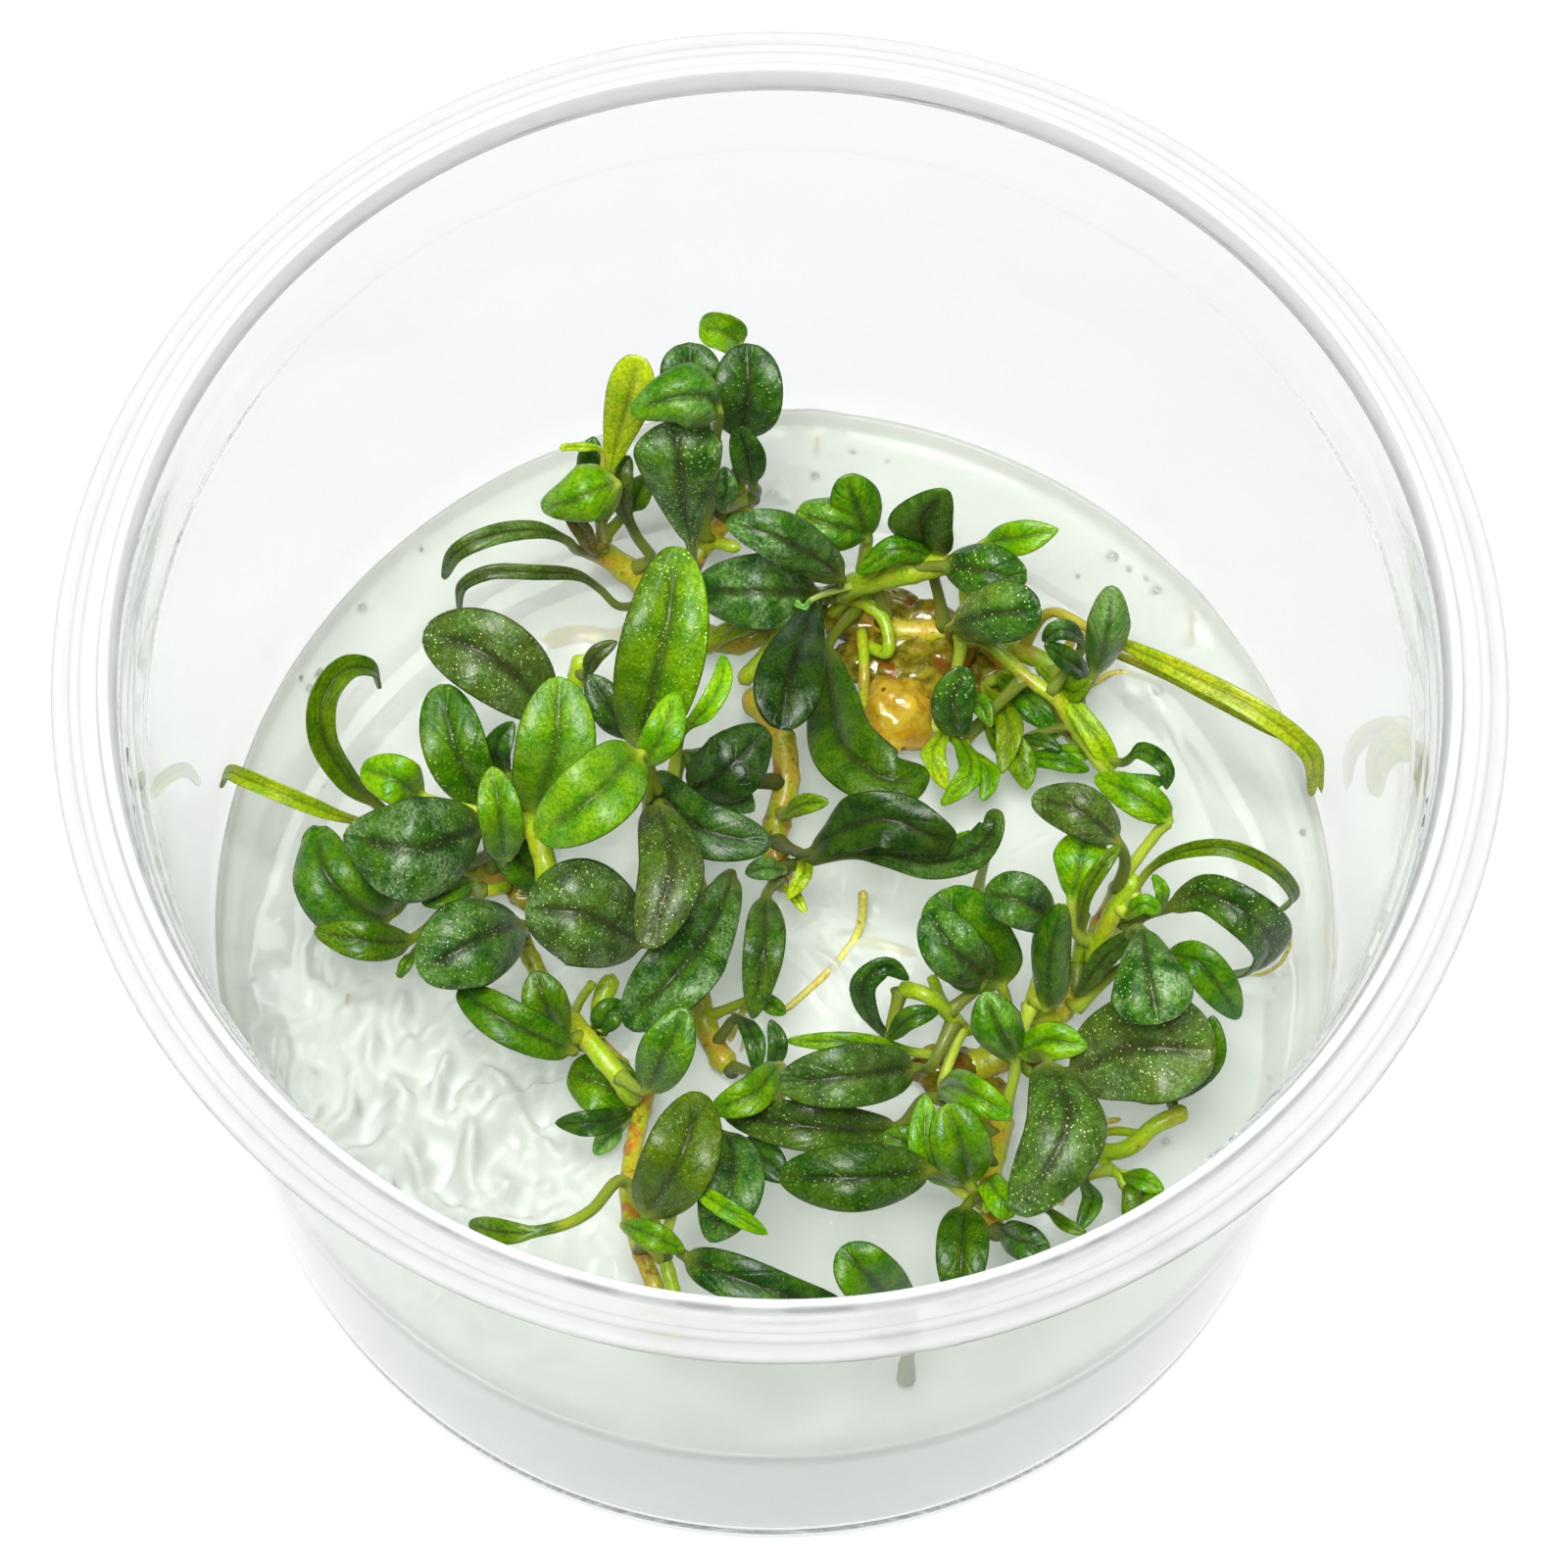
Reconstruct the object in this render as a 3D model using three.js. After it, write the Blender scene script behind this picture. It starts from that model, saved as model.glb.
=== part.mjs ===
// A needle leaf plant (bucephalandra) grown in tissue culture, in its clear cup on a layer of gel.
// Millimetres, +Z up. The origin is the middle of the cup's foot. +Y points away from the eye point.
import * as THREE from 'three'
import { mergeVertices } from 'three/addons/utils/BufferGeometryUtils.js'


// Cup
const CUP_HEIGHT = 72.5
const RIM_RADIUS = 50
const RIM_TOP_OUTER = 46.7
const MOUTH_RADIUS = 46
const FLANGE_TOP = 71.3
const FLANGE_THICKNESS = 0.8
const STEP_HEIGHT = 64
const STEP_OUTER = 44.6
const STEP_INNER = 44.1
const FOOT_RADIUS = 42.7
const FOOT_ROUNDING = 1.5
const WALL_FOOT = 42
const INNER_ROUNDING = 2
const FLOOR = 1.2
const CUP_SIDES = 56

// Gel
const GEL_TOP = 24.3
const GAP = 0.3
const GEL_SIDES = 48

// Leaves
const BLADE_THICKNESS = 0.42
const EDGE_THICKNESS = 0.14
const STALK_THICKNESS = 0.8
const FOOT_GAP = 0.6
const BLADE_STATIONS = 6
const STALK_STATIONS = 3

// The eye point from which the plant is laid out, and its view of 1600 by 1600 units.
const EYE = new THREE.Vector3(0, -154.8, 414.5)
const VIEW_FOCUS = 5600
const VIEW_MIDDLE = 800
const EYE_PITCH = 67
const EYE_YAW = 0.16
const EYE_ROLL = 1.49

// A point of a stem or leaf is [across, down, height]: where the eye sees it, and its height in mm.
const STEMS = {
  back_stem: {
    radius: 1.2,
    points: [
      [594, 550, 32], [640, 582, 29], [690, 630, 26.4], [745, 655, 25.8], [800, 632, 26.4],
      [846, 604, 27.6],
    ],
  },
  top_stem: { radius: 0.9, points: [[697, 598, 30.2], [722, 552, 31.5], [768, 507, 35]] },
  left_stem: {
    radius: 1.3,
    points: [[385, 838, 28.5], [440, 868, 26.2], [505, 893, 25.9], [558, 905, 26.8]],
  },
  low_left_stem: {
    radius: 0.8,
    points: [[640, 1095, 25.5], [620, 1075, 26], [583, 1040, 27.4], [548, 990, 28], [530, 950, 28.5]],
  },
  middle_stem: {
    radius: 1.1,
    points: [
      [745, 1095, 25.8], [722, 1052, 25.8], [712, 1012, 26.4], [706, 960, 27.4], [708, 905, 28.5],
      [695, 855, 30], [676, 812, 32],
    ],
  },
  centre_stem: {
    radius: 1.4,
    points: [[762, 706, 28.2], [796, 750, 29.4], [802, 800, 28.8], [790, 860, 27.2], [798, 905, 26.1]],
  },
  right_stem: {
    radius: 1.1,
    points: [
      [870, 608, 28.2], [905, 640, 27], [955, 645, 27], [1005, 655, 27.6], [1048, 698, 27.2],
      [1095, 745, 26.4], [1137, 782, 26],
    ],
  },
  lower_right_stem: {
    radius: 1.5,
    points: [
      [1155, 898, 37], [1130, 945, 33.5], [1100, 1000, 30], [1058, 1050, 27.6], [1005, 1085, 26.2],
      [960, 1080, 26.1],
    ],
  },
  front_right_stem: {
    radius: 1,
    points: [[1020, 1115, 26], [1022, 1150, 29], [1010, 1205, 31.5], [1013, 1260, 32.5]],
  },
  front_stem: {
    radius: 0.8,
    points: [
      [668, 1082, 25.5], [656, 1130, 28.5], [645, 1180, 30.5], [641, 1220, 32], [652, 1270, 34],
      [668, 1312, 35],
    ],
  },
}

const LEAVES = {
  back_tip_leaf: {
    stem: 'top_stem', at: 0.97, width: 2.8, blunt: 0.45, tone: 'bright',
    stalk: [[766, 450, 39], [762, 385, 43.5]],
    blade: [[755, 354, 46.5], [736, 338, 48.5], [713, 336, 48]],
  },
  back_round_leaf: {
    stem: 'top_stem', at: 0.78, width: 5.9, fold: 18, blunt: 0.5, tone: 'dark',
    stalk: [[754, 475, 40]],
    blade: [[750, 441, 44], [757, 398, 49.5], [765, 354, 51]],
  },
  back_pointed_leaf: {
    stem: 'top_stem', at: 0.55, width: 3.2, widest: 0.35, fold: -15, tone: 'mid',
    stalk: [[736, 500, 40], [743, 452, 45]],
    blade: [[731, 420, 51], [700, 403, 54], [643, 416, 52.5]],
  },
  back_broad_leaf: {
    stem: 'top_stem', at: 0.2, width: 6.7, widest: 0.68, blunt: 0.55, fold: -10, tone: 'dark',
    stalk: [],
    blade: [[706, 562, 35], [697, 510, 42], [692, 462, 47], [688, 428, 48]],
  },
  back_upright_leaf: {
    stem: 'back_stem', at: 0.04, width: 3.7, widest: 0.62, blunt: 0.5, fold: 12, tone: 'young',
    stalk: [[610, 522, 36]],
    blade: [[623, 482, 41], [637, 440, 46], [648, 405, 50], [653, 364, 54]],
  },
  upper_strap_leaf: {
    stem: 'back_stem', at: 0.03, width: 1.6, blunt: 0.4, fold: 14, tone: 'dark',
    stalk: [[588, 561, 35.5]],
    blade: [[579, 552, 38], [547, 541, 41.5], [503, 546, 43.5], [468, 562, 43], [452, 591, 39]],
  },
  lower_strap_leaf: {
    stem: 'back_stem', at: 0.3, width: 1.2, blunt: 0.4, fold: 14, tone: 'dark',
    stalk: [[630, 618, 32]],
    blade: [[613, 602, 34], [588, 587, 37], [545, 584, 39.5], [500, 584, 40], [474, 596, 39], [468, 624, 35]],
  },
  silver_leaf: {
    stem: 'back_stem', at: 0.97, width: 3.9, blunt: 0.5, fold: -14, tone: 'dark',
    stalk: [],
    blade: [[858, 590, 36.5], [828, 567, 42.5], [790, 546, 46], [741, 532, 46]],
  },
  upright_dark_leaf: {
    stem: 'back_stem', at: 0.88, width: 5.2, widest: 0.68, blunt: 0.5, fold: 14, tone: 'dark',
    stalk: [],
    blade: [[832, 604, 33], [820, 650, 38], [803, 700, 41], [796, 745, 41]],
  },
  sickle_leaf: {
    stem: 'right_stem', at: 0.04, width: 4.8, blunt: 0.55, fold: 12, tone: 'dark',
    stalk: [],
    blade: [[845, 660, 32], [850, 715, 34.5], [868, 770, 37.5], [912, 797, 38.5], [948, 788, 37.5]],
  },
  spotted_leaf: {
    stem: 'middle_stem', at: 0.97, width: 6.9, blunt: 0.48, fold: 12, tone: 'mid',
    stalk: [],
    blade: [[661, 772, 38], [669, 700, 44.5], [683, 632, 48], [698, 562, 48.5]],
  },
  glossy_leaf: {
    stem: 'centre_stem', at: 0.5, width: 5, blunt: 0.5, fold: -14, tone: 'dark',
    stalk: [[722, 800, 34]],
    blade: [[706, 806, 38.5], [745, 782, 42.5], [782, 742, 42]],
  },
  wavy_leaf: {
    stem: 'centre_stem', at: 0.75, width: 3.4, blunt: 0.42, fold: 16, tone: 'dark',
    stalk: [[810, 868, 32]],
    blade: [[830, 868, 37], [862, 840, 41], [905, 828, 43], [945, 842, 42.5], [970, 856, 41]],
  },
  striped_leaf: {
    stem: 'centre_stem', at: 0.9, width: 2.7, widest: 0.55, blunt: 0.5, fold: 14, tone: 'dark',
    stalk: [[822, 880, 31]],
    blade: [
      [862, 872, 34], [905, 872, 36.5], [950, 880, 37.5], [995, 868, 39.5], [1014, 842, 41.5],
      [1010, 827, 41],
    ],
  },
  square_bright_leaf: {
    stem: 'right_stem', at: 0.03, width: 3.8, blunt: 0.4, fold: -12, tone: 'mid',
    stalk: [[880, 575, 34]],
    blade: [[884, 545, 38], [848, 536, 41], [812, 522, 40.5]],
  },
  brown_patch_leaf: {
    stem: 'right_stem', at: 0.36, width: 5.2, widest: 0.36, fold: 10, tone: 'dark',
    stalk: [[957, 605, 30.5]],
    blade: [[946, 562, 36], [942, 530, 41.5], [966, 499, 46]],
  },
  pointed_bright_leaf: {
    stem: 'right_stem', at: 0.44, width: 2.7, blunt: 0.8, fold: 10, tone: 'bright',
    stalk: [[985, 585, 33]],
    blade: [[1003, 556, 37.5], [1040, 549, 41], [1081, 540, 42]],
  },
  blunt_dark_leaf: {
    stem: 'right_stem', at: 0.13, width: 4.3, blunt: 0.42, fold: -12, tone: 'dark',
    stalk: [[900, 590, 33.5]],
    blade: [[964, 577, 37.5], [1005, 583, 40.5], [1048, 593, 40]],
  },
  yellow_tipped_leaf: {
    stem: 'right_stem', at: 0.4, width: 4.7, blunt: 0.42, widest: 0.6, fold: -14, tone: 'dark',
    stalk: [],
    blade: [[972, 640, 34.5], [1012, 626, 41.5], [1063, 622, 43.5]],
  },
  long_yellow_leaf: {
    stem: 'right_stem', at: 0.6, width: 2.1, blunt: 0.35, fold: 14, tone: 'young',
    stalk: [[1072, 625, 34.5]],
    blade: [[1120, 646, 37], [1200, 682, 40], [1290, 730, 40.5], [1335, 768, 38], [1339, 812, 33.5]],
  },
  pale_curled_leaf: {
    stem: 'right_stem', at: 0.86, width: 3.3, blunt: 0.5, fold: -16, tone: 'pale',
    stalk: [[1102, 712, 31]],
    blade: [[1116, 688, 35], [1130, 645, 42.5], [1135, 597, 44.5]],
  },
  brown_leaf: {
    stem: 'left_stem', at: 0.9, width: 6.4, blunt: 0.48, fold: 8, tone: 'dark',
    stalk: [[562, 778, 33]],
    blade: [[557, 730, 37.5], [500, 670, 43], [432, 644, 42.5]],
  },
  green_side_leaf: {
    stem: 'left_stem', at: 0.66, width: 4.5, blunt: 0.5, fold: 12, tone: 'mid',
    stalk: [[497, 850, 31]],
    blade: [[488, 826, 34.5], [458, 770, 40], [446, 702, 41]],
  },
  bright_upright_leaf: {
    stem: 'left_stem', at: 0.8, width: 5.9, blunt: 0.5, fold: 12, tone: 'bright',
    stalk: [[541, 868, 33]],
    blade: [[546, 832, 38], [567, 760, 45], [571, 690, 47]],
  },
  bright_tilted_leaf: {
    stem: 'middle_stem', at: 0.9, width: 5.6, blunt: 0.48, fold: 12, tone: 'bright',
    stalk: [[668, 800, 39]],
    blade: [[652, 770, 46], [608, 811, 49.5], [548, 856, 46.5]],
  },
  hooked_leaf: {
    stem: 'left_stem', at: 0.13, width: 1.8, widest: 0.4, blunt: 0.45, fold: 16, tone: 'mid',
    stalk: [],
    blade: [
      [386, 820, 33.5], [355, 792, 38], [331, 750, 41], [331, 712, 42.5], [353, 685, 42.5],
      [379, 686, 41], [386, 703, 38.5],
    ],
  },
  long_hooked_leaf: {
    stem: 'left_stem', at: 0.02, width: 1.4, blunt: 0.4, fold: 14, tone: 'young',
    stalk: [],
    blade: [
      [368, 839, 32], [335, 829, 35.5], [295, 813, 37.5], [250, 794, 37.5], [236, 789, 36.5],
      [225, 803, 33.5],
    ],
  },
  bluish_leaf: {
    stem: 'left_stem', at: 0.55, width: 7.3, blunt: 0.45, fold: -14, tone: 'dark',
    stalk: [[500, 868, 33]],
    blade: [[492, 858, 36.5], [425, 862, 42], [352, 866, 40.5]],
  },
  folded_leaf: {
    stem: 'left_stem', at: 0.3, width: 3.9, blunt: 0.55, widest: 0.4, fold: -14, tone: 'pale',
    stalk: [],
    blade: [[398, 932, 32.5], [362, 925, 36.5], [331, 900, 38], [323, 843, 36.5]],
  },
  dark_oval_leaf: {
    stem: 'low_left_stem', at: 0.97, width: 6.7, blunt: 0.48, fold: -12, tone: 'dark',
    stalk: [],
    blade: [[531, 944, 35], [480, 962, 42], [428, 995, 41]],
  },
  low_green_leaf: {
    stem: 'low_left_stem', at: 0.38, width: 3.4, blunt: 0.45, fold: 12, tone: 'mid',
    stalk: [[575, 1066, 30]],
    blade: [[583, 1072, 35], [520, 1044, 38.5], [467, 1009, 37.5]],
  },
  middle_oval_leaf: {
    stem: 'middle_stem', at: 0.42, width: 8, blunt: 0.48, fold: -12, tone: 'dark',
    stalk: [[684, 962, 32]],
    blade: [[655, 962, 37], [594, 932, 42.5], [535, 927, 42]],
  },
  spotted_dark_leaf: {
    stem: 'middle_stem', at: 0.8, width: 4.8, blunt: 0.45, fold: -10, tone: 'dark',
    stalk: [[690, 835, 36]],
    blade: [[672, 822, 42], [685, 890, 47], [659, 968, 45.5]],
  },
  shiny_dark_leaf: {
    stem: 'middle_stem', at: 0.62, width: 5.4, widest: 0.58, blunt: 0.48, fold: 12, tone: 'dark',
    stalk: [],
    blade: [[746, 892, 34.5], [716, 962, 39.5], [684, 1000, 40.5], [638, 1048, 37.5]],
  },
  narrow_oval_leaf: {
    stem: 'centre_stem', at: 0.97, width: 3.1, blunt: 0.6, fold: 12, tone: 'dark',
    stalk: [],
    blade: [[782, 914, 32], [780, 965, 37.5], [768, 1040, 34]],
  },
  front_green_leaf: {
    stem: 'front_stem', at: 0.7, width: 5.4, blunt: 0.5, fold: 12, tone: 'mid',
    stalk: [],
    blade: [[660, 1241, 38.5], [694, 1182, 44.5], [715, 1114, 44]],
  },
  umber_leaf: {
    stem: 'lower_right_stem', at: 0.01, width: 3.9, blunt: 0.48, fold: -12, tone: 'dark',
    stalk: [[1148, 878, 41.5]],
    blade: [[1139, 858, 44], [1103, 828, 47], [1052, 814, 45.5]],
  },
  lime_leaf: {
    stem: 'lower_right_stem', at: 0.24, width: 4.1, blunt: 0.45, fold: -10, tone: 'bright',
    stalk: [[1108, 950, 36]],
    blade: [[1110, 918, 40], [1104, 885, 43], [1095, 850, 43]],
  },
  arching_strap_leaf: {
    stem: 'lower_right_stem', at: 0.07, width: 1.3, blunt: 0.4, fold: 14, tone: 'mid',
    stalk: [],
    blade: [
      [1168, 893, 39.5], [1201, 871, 43], [1250, 865, 45], [1295, 884, 43.5], [1319, 915, 39],
      [1304, 931, 36],
    ],
  },
  folding_dark_leaf: {
    stem: 'lower_right_stem', at: 0.15, width: 3, blunt: 0.5, fold: 12, tone: 'dark',
    stalk: [[1166, 935, 36]],
    blade: [
      [1190, 927, 37.5], [1232, 914, 41.5], [1277, 938, 42], [1300, 965, 38.5], [1275, 988, 34.5],
      [1253, 989, 32.5],
    ],
  },
  round_bowl_leaf: {
    stem: 'lower_right_stem', at: 0.66, width: 6.2, blunt: 0.42, fold: 14, tone: 'mid',
    stalk: [],
    blade: [[1020, 1004, 33.5], [984, 961, 38.5], [948, 920, 39]],
  },
  grey_leaf: {
    stem: 'lower_right_stem', at: 0.32, width: 5.4, widest: 0.65, blunt: 0.5, fold: -12, tone: 'dark',
    stalk: [[1142, 965, 37]],
    blade: [[1167, 952, 41.5], [1176, 998, 46.5], [1184, 1044, 46]],
  },
  red_rib_leaf: {
    stem: 'lower_right_stem', at: 0.46, width: 2.8, blunt: 0.6, fold: 12, tone: 'mid',
    stalk: [[1138, 992, 33]],
    blade: [[1188, 976, 37.5], [1222, 986, 41], [1246, 1020, 39.5], [1268, 1040, 36.5]],
  },
  big_dark_leaf: {
    stem: 'lower_right_stem', at: 0.6, width: 7.2, widest: 0.6, blunt: 0.45, fold: 10, tone: 'dark',
    stalk: [[1070, 1086, 30]],
    blade: [[1094, 1096, 34], [1158, 1080, 40.5], [1241, 1070, 41]],
  },
  big_upright_leaf: {
    stem: 'lower_right_stem', at: 0.7, width: 5.9, blunt: 0.48, fold: -12, tone: 'dark',
    stalk: [[1046, 1076, 33]],
    blade: [[1070, 1085, 40.5], [1088, 1153, 45.5], [1037, 1240, 43]],
  },
  front_oval_leaf: {
    stem: 'front_right_stem', at: 0.6, width: 4.9, blunt: 0.48, fold: -10, tone: 'mid',
    stalk: [[975, 1200, 37.5]],
    blade: [[948, 1194, 40.5], [872, 1202, 43.5], [794, 1200, 42]],
  },
  front_dark_leaf: {
    stem: 'front_right_stem', at: 0.8, width: 3.8, blunt: 0.5, fold: 12, tone: 'mid',
    stalk: [],
    blade: [[986, 1232, 38], [982, 1275, 43], [978, 1330, 42]],
  },
}

// Colours
const LEAF_COLOURS = { dark: 0x3f5f2c, mid: 0x5f8f2c, bright: 0x8fc03a, young: 0xb8cc3c, pale: 0x86a45c }
const LEAF_FINISH = { roughness: 0.4, metalness: 0 }
const STEM_MATERIAL = { color: 0xa8a33a, roughness: 0.5, metalness: 0 }
const LUMP_MATERIAL = { color: 0xb99a3c, roughness: 0.35, metalness: 0 }
const GEL_MATERIAL = { color: 0xdfe4d8, roughness: 0.1, metalness: 0, transparent: true, opacity: 0.6 }
const CUP_MATERIAL = { color: 0xf2f4f4, roughness: 0.15, metalness: 0, transparent: true, opacity: 0.35 }

// The eye's own axes, from its pitch below the horizon, its yaw and its roll.
function eyeAxes() {
  const pitch = THREE.MathUtils.degToRad(EYE_PITCH)
  const yaw = THREE.MathUtils.degToRad(EYE_YAW)
  const roll = THREE.MathUtils.degToRad(EYE_ROLL)
  const ahead = Math.cos(pitch)
  const forward = new THREE.Vector3(ahead * Math.sin(yaw), ahead * Math.cos(yaw), -Math.sin(pitch))
  const level = new THREE.Vector3(0, 0, 1)
  const side = forward.clone().cross(level).normalize()
  const top = side.clone().cross(forward)
  const right = side.clone().multiplyScalar(Math.cos(roll)).addScaledVector(top, Math.sin(roll))
  const up = top.clone().multiplyScalar(Math.cos(roll)).addScaledVector(side, -Math.sin(roll))
  return { forward, right, up }
}

const AXES = eyeAxes()

// The place at a height where the eye sees [across, down].
function seen([across, down, height]) {
  const sight = AXES.forward.clone().multiplyScalar(VIEW_FOCUS)
  sight.addScaledVector(AXES.right, across - VIEW_MIDDLE)
  sight.addScaledVector(AXES.up, VIEW_MIDDLE - down)
  return EYE.clone().addScaledVector(sight, (height - EYE.z) / sight.z)
}

// Stem: a round tube along a smooth curve, tapered to rounded ends.
const STEM_SIDES = 8
const STEM_STEPS_PER_POINT = 3

function stemCurve(stem) {
  return new THREE.CatmullRomCurve3(stem.points.map(seen), false, 'centripetal')
}

// A closed loft through rings of points, each ring turning the same way round the curve.
function loft(rings) {
  const count = rings[0].length
  const positions = rings.flat().flatMap((p) => [p.x, p.y, p.z])
  const index = []
  for (let i = 0; i + 1 < rings.length; i++) {
    for (let k = 0; k < count; k++) {
      const a = i * count + k
      const b = i * count + (k + 1) % count
      index.push(a, b, b + count, a, b + count, a + count)
    }
  }
  const last = (rings.length - 1) * count
  for (let k = 1; k + 1 < count; k++) {
    index.push(0, k + 1, k)
    index.push(last, last + k, last + k + 1)
  }
  const geometry = new THREE.BufferGeometry()
  geometry.setAttribute('position', new THREE.Float32BufferAttribute(positions, 3))
  geometry.setIndex(index)
  return geometry
}

function stemGeometry(stem) {
  const curve = stemCurve(stem)
  const steps = (stem.points.length - 1) * STEM_STEPS_PER_POINT
  const rings = []
  let side = null
  for (let i = 0; i <= steps; i++) {
    const t = i / steps
    const middle = curve.getPoint(t)
    const along = curve.getTangent(t)
    side = side ?? new THREE.Vector3(0, 0, 1).cross(along)
    side.addScaledVector(along, -side.dot(along)).normalize()
    const top = along.clone().cross(side)
    const radius = stem.radius * (i === 0 || i === steps ? 0.7 : 1)
    const ring = []
    for (let k = 0; k < STEM_SIDES; k++) {
      const angle = 2 * Math.PI * k / STEM_SIDES
      ring.push(middle.clone()
        .addScaledVector(side, radius * Math.cos(angle))
        .addScaledVector(top, radius * Math.sin(angle)))
    }
    rings.push(ring)
  }
  return loft(rings)
}

// Where a leaf starts: just off the surface of its stem at a share of its length, facing the leaf.
function footOnStem(stem, share, target) {
  const curve = stemCurve(stem)
  const foot = curve.getPoint(share)
  const along = curve.getTangent(share)
  const away = target.clone().sub(foot)
  away.addScaledVector(along, -away.dot(along)).normalize()
  return foot.addScaledVector(away, stem.radius + FOOT_GAP)
}

// Half the blade's width at a share t of its length, as a share of its greatest half width.
function outline(t, widest, blunt) {
  const warped = Math.pow(t, Math.log(0.5) / Math.log(widest))
  return Math.pow(Math.sin(Math.PI * warped), blunt)
}

// Leaf: a stalk that widens into a thin blade folded along its midrib, in one closed skin.
function leafGeometry(leaf) {
  const { width, widest = 0.5, blunt = 0.6, fold = 0, roll = 0 } = leaf
  const blade = leaf.blade.map(seen)
  const stalk = leaf.stalk.map(seen)
  const first = stalk[0] ?? blade[0]
  const foot = footOnStem(STEMS[leaf.stem], leaf.at, first)
  const bladeCurve = new THREE.CatmullRomCurve3([foot, ...stalk, ...blade], false, 'centripetal')
  const joints = stalk.length + blade.length
  const bladeStart = (stalk.length + 1) / joints
  const stations = []
  for (let i = 0; i < STALK_STATIONS; i++) {
    stations.push({ t: bladeStart * i / STALK_STATIONS, spread: 0 })
  }
  for (let i = 0; i <= BLADE_STATIONS; i++) {
    const along = Math.min(0.985, Math.max(0.03, i / BLADE_STATIONS))
    const t = bladeStart + (1 - bladeStart) * i / BLADE_STATIONS
    stations.push({ t, spread: outline(along, widest, blunt) })
  }
  for (const station of stations) {
    station.point = bladeCurve.getPoint(station.t)
    station.along = bladeCurve.getTangent(station.t)
  }
  turnStations(stations, STALK_STATIONS + Math.floor(BLADE_STATIONS / 2), roll)
  const rings = stations.map((s) => leafRing(s, width, fold))
  return loft(rings)
}

// Each station's normal faces the eye in the middle of the blade and is carried along from there.
function turnStations(stations, middle, roll) {
  const start = stations[middle]
  const toEye = EYE.clone().sub(start.point)
  const angle = THREE.MathUtils.degToRad(roll)
  start.normal = toEye.addScaledVector(start.along, -toEye.dot(start.along)).normalize()
  start.normal.applyAxisAngle(start.along, angle)
  const carry = (from, to) => {
    to.normal = from.normal.clone().addScaledVector(to.along, -from.normal.dot(to.along)).normalize()
  }
  for (let i = middle + 1; i < stations.length; i++) carry(stations[i - 1], stations[i])
  for (let i = middle - 1; i >= 0; i--) carry(stations[i + 1], stations[i])
}

function leafRing({ point, along, normal, spread }, width, fold) {
  const side = along.clone().cross(normal)
  const half = Math.max(STALK_THICKNESS / 2, spread * width / 2)
  const flat = half / (width / 2)
  const lift = half * Math.sin(THREE.MathUtils.degToRad(fold)) * flat
  const thick = THREE.MathUtils.lerp(STALK_THICKNESS, BLADE_THICKNESS, Math.min(1, 2 * spread))
  const edge = THREE.MathUtils.lerp(STALK_THICKNESS * 0.5, EDGE_THICKNESS, Math.min(1, 2 * spread))
  const at = (across, up) => point.clone().addScaledVector(side, across).addScaledVector(normal, up)
  return [
    at(half, lift + edge / 2),
    at(half, lift - edge / 2),
    at(0, -thick / 2),
    at(-half, lift - edge / 2),
    at(-half, lift + edge / 2),
    at(0, thick / 2),
  ]
}

// A solid of revolution about the vertical axis, from [radius, height] points.
function turned(profile, sides) {
  const points = profile.map(([radius, height]) => new THREE.Vector2(radius, height))
  return new THREE.LatheGeometry(points, sides).rotateX(Math.PI / 2)
}

const WALL_FOOT_HEIGHT = FLOOR + INNER_ROUNDING

// Cup: one turned wall with a flat sealing rim, a flange and a shallow step under the mouth.
function cupGeometry() {
  return turned([
    [0, 0],
    [FOOT_RADIUS - FOOT_ROUNDING, 0],
    [FOOT_RADIUS, FOOT_ROUNDING],
    [MOUTH_RADIUS - 0.3, FLANGE_TOP - FLANGE_THICKNESS],
    [RIM_RADIUS - 0.3, FLANGE_TOP - FLANGE_THICKNESS],
    [RIM_RADIUS, FLANGE_TOP - FLANGE_THICKNESS / 2],
    [RIM_RADIUS - 0.3, FLANGE_TOP],
    [RIM_TOP_OUTER + 0.6, FLANGE_TOP],
    [RIM_TOP_OUTER, CUP_HEIGHT],
    [MOUTH_RADIUS, CUP_HEIGHT],
    [STEP_OUTER, STEP_HEIGHT + 0.6],
    [STEP_INNER, STEP_HEIGHT],
    [WALL_FOOT, WALL_FOOT_HEIGHT],
    [WALL_FOOT - INNER_ROUNDING, FLOOR],
    [0, FLOOR],
  ], CUP_SIDES)
}

// Inside radius of the cup's wall at a height between its foot and the step.
function wallRadius(height) {
  const share = (height - WALL_FOOT_HEIGHT) / (STEP_HEIGHT - WALL_FOOT_HEIGHT)
  return THREE.MathUtils.lerp(WALL_FOOT, STEP_INNER, share)
}

function gelGeometry() {
  return turned([
    [0, FLOOR + GAP],
    [WALL_FOOT - INNER_ROUNDING - GAP, FLOOR + GAP],
    [wallRadius(WALL_FOOT_HEIGHT) - GAP - 0.2, WALL_FOOT_HEIGHT + 0.3],
    [wallRadius(GEL_TOP) - GAP - 0.2, GEL_TOP],
    [0, GEL_TOP],
  ], GEL_SIDES)
}

// Lump of brown callus on the gel under the right stem.
const LUMP_PLACE = [916, 728, 27]
const LUMP_RADII = [2.8, 2.7, 2.2]

function lumpGeometry() {
  const geometry = new THREE.IcosahedronGeometry(1, 2).scale(...LUMP_RADII)
  const place = seen(LUMP_PLACE)
  return geometry.translate(place.x, place.y, place.z)
}

// A closed skin whose shared corners are merged.
function closedSkin(geometry) {
  geometry.deleteAttribute('normal')
  geometry.deleteAttribute('uv')
  return mergeVertices(geometry, 1e-4)
}

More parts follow.
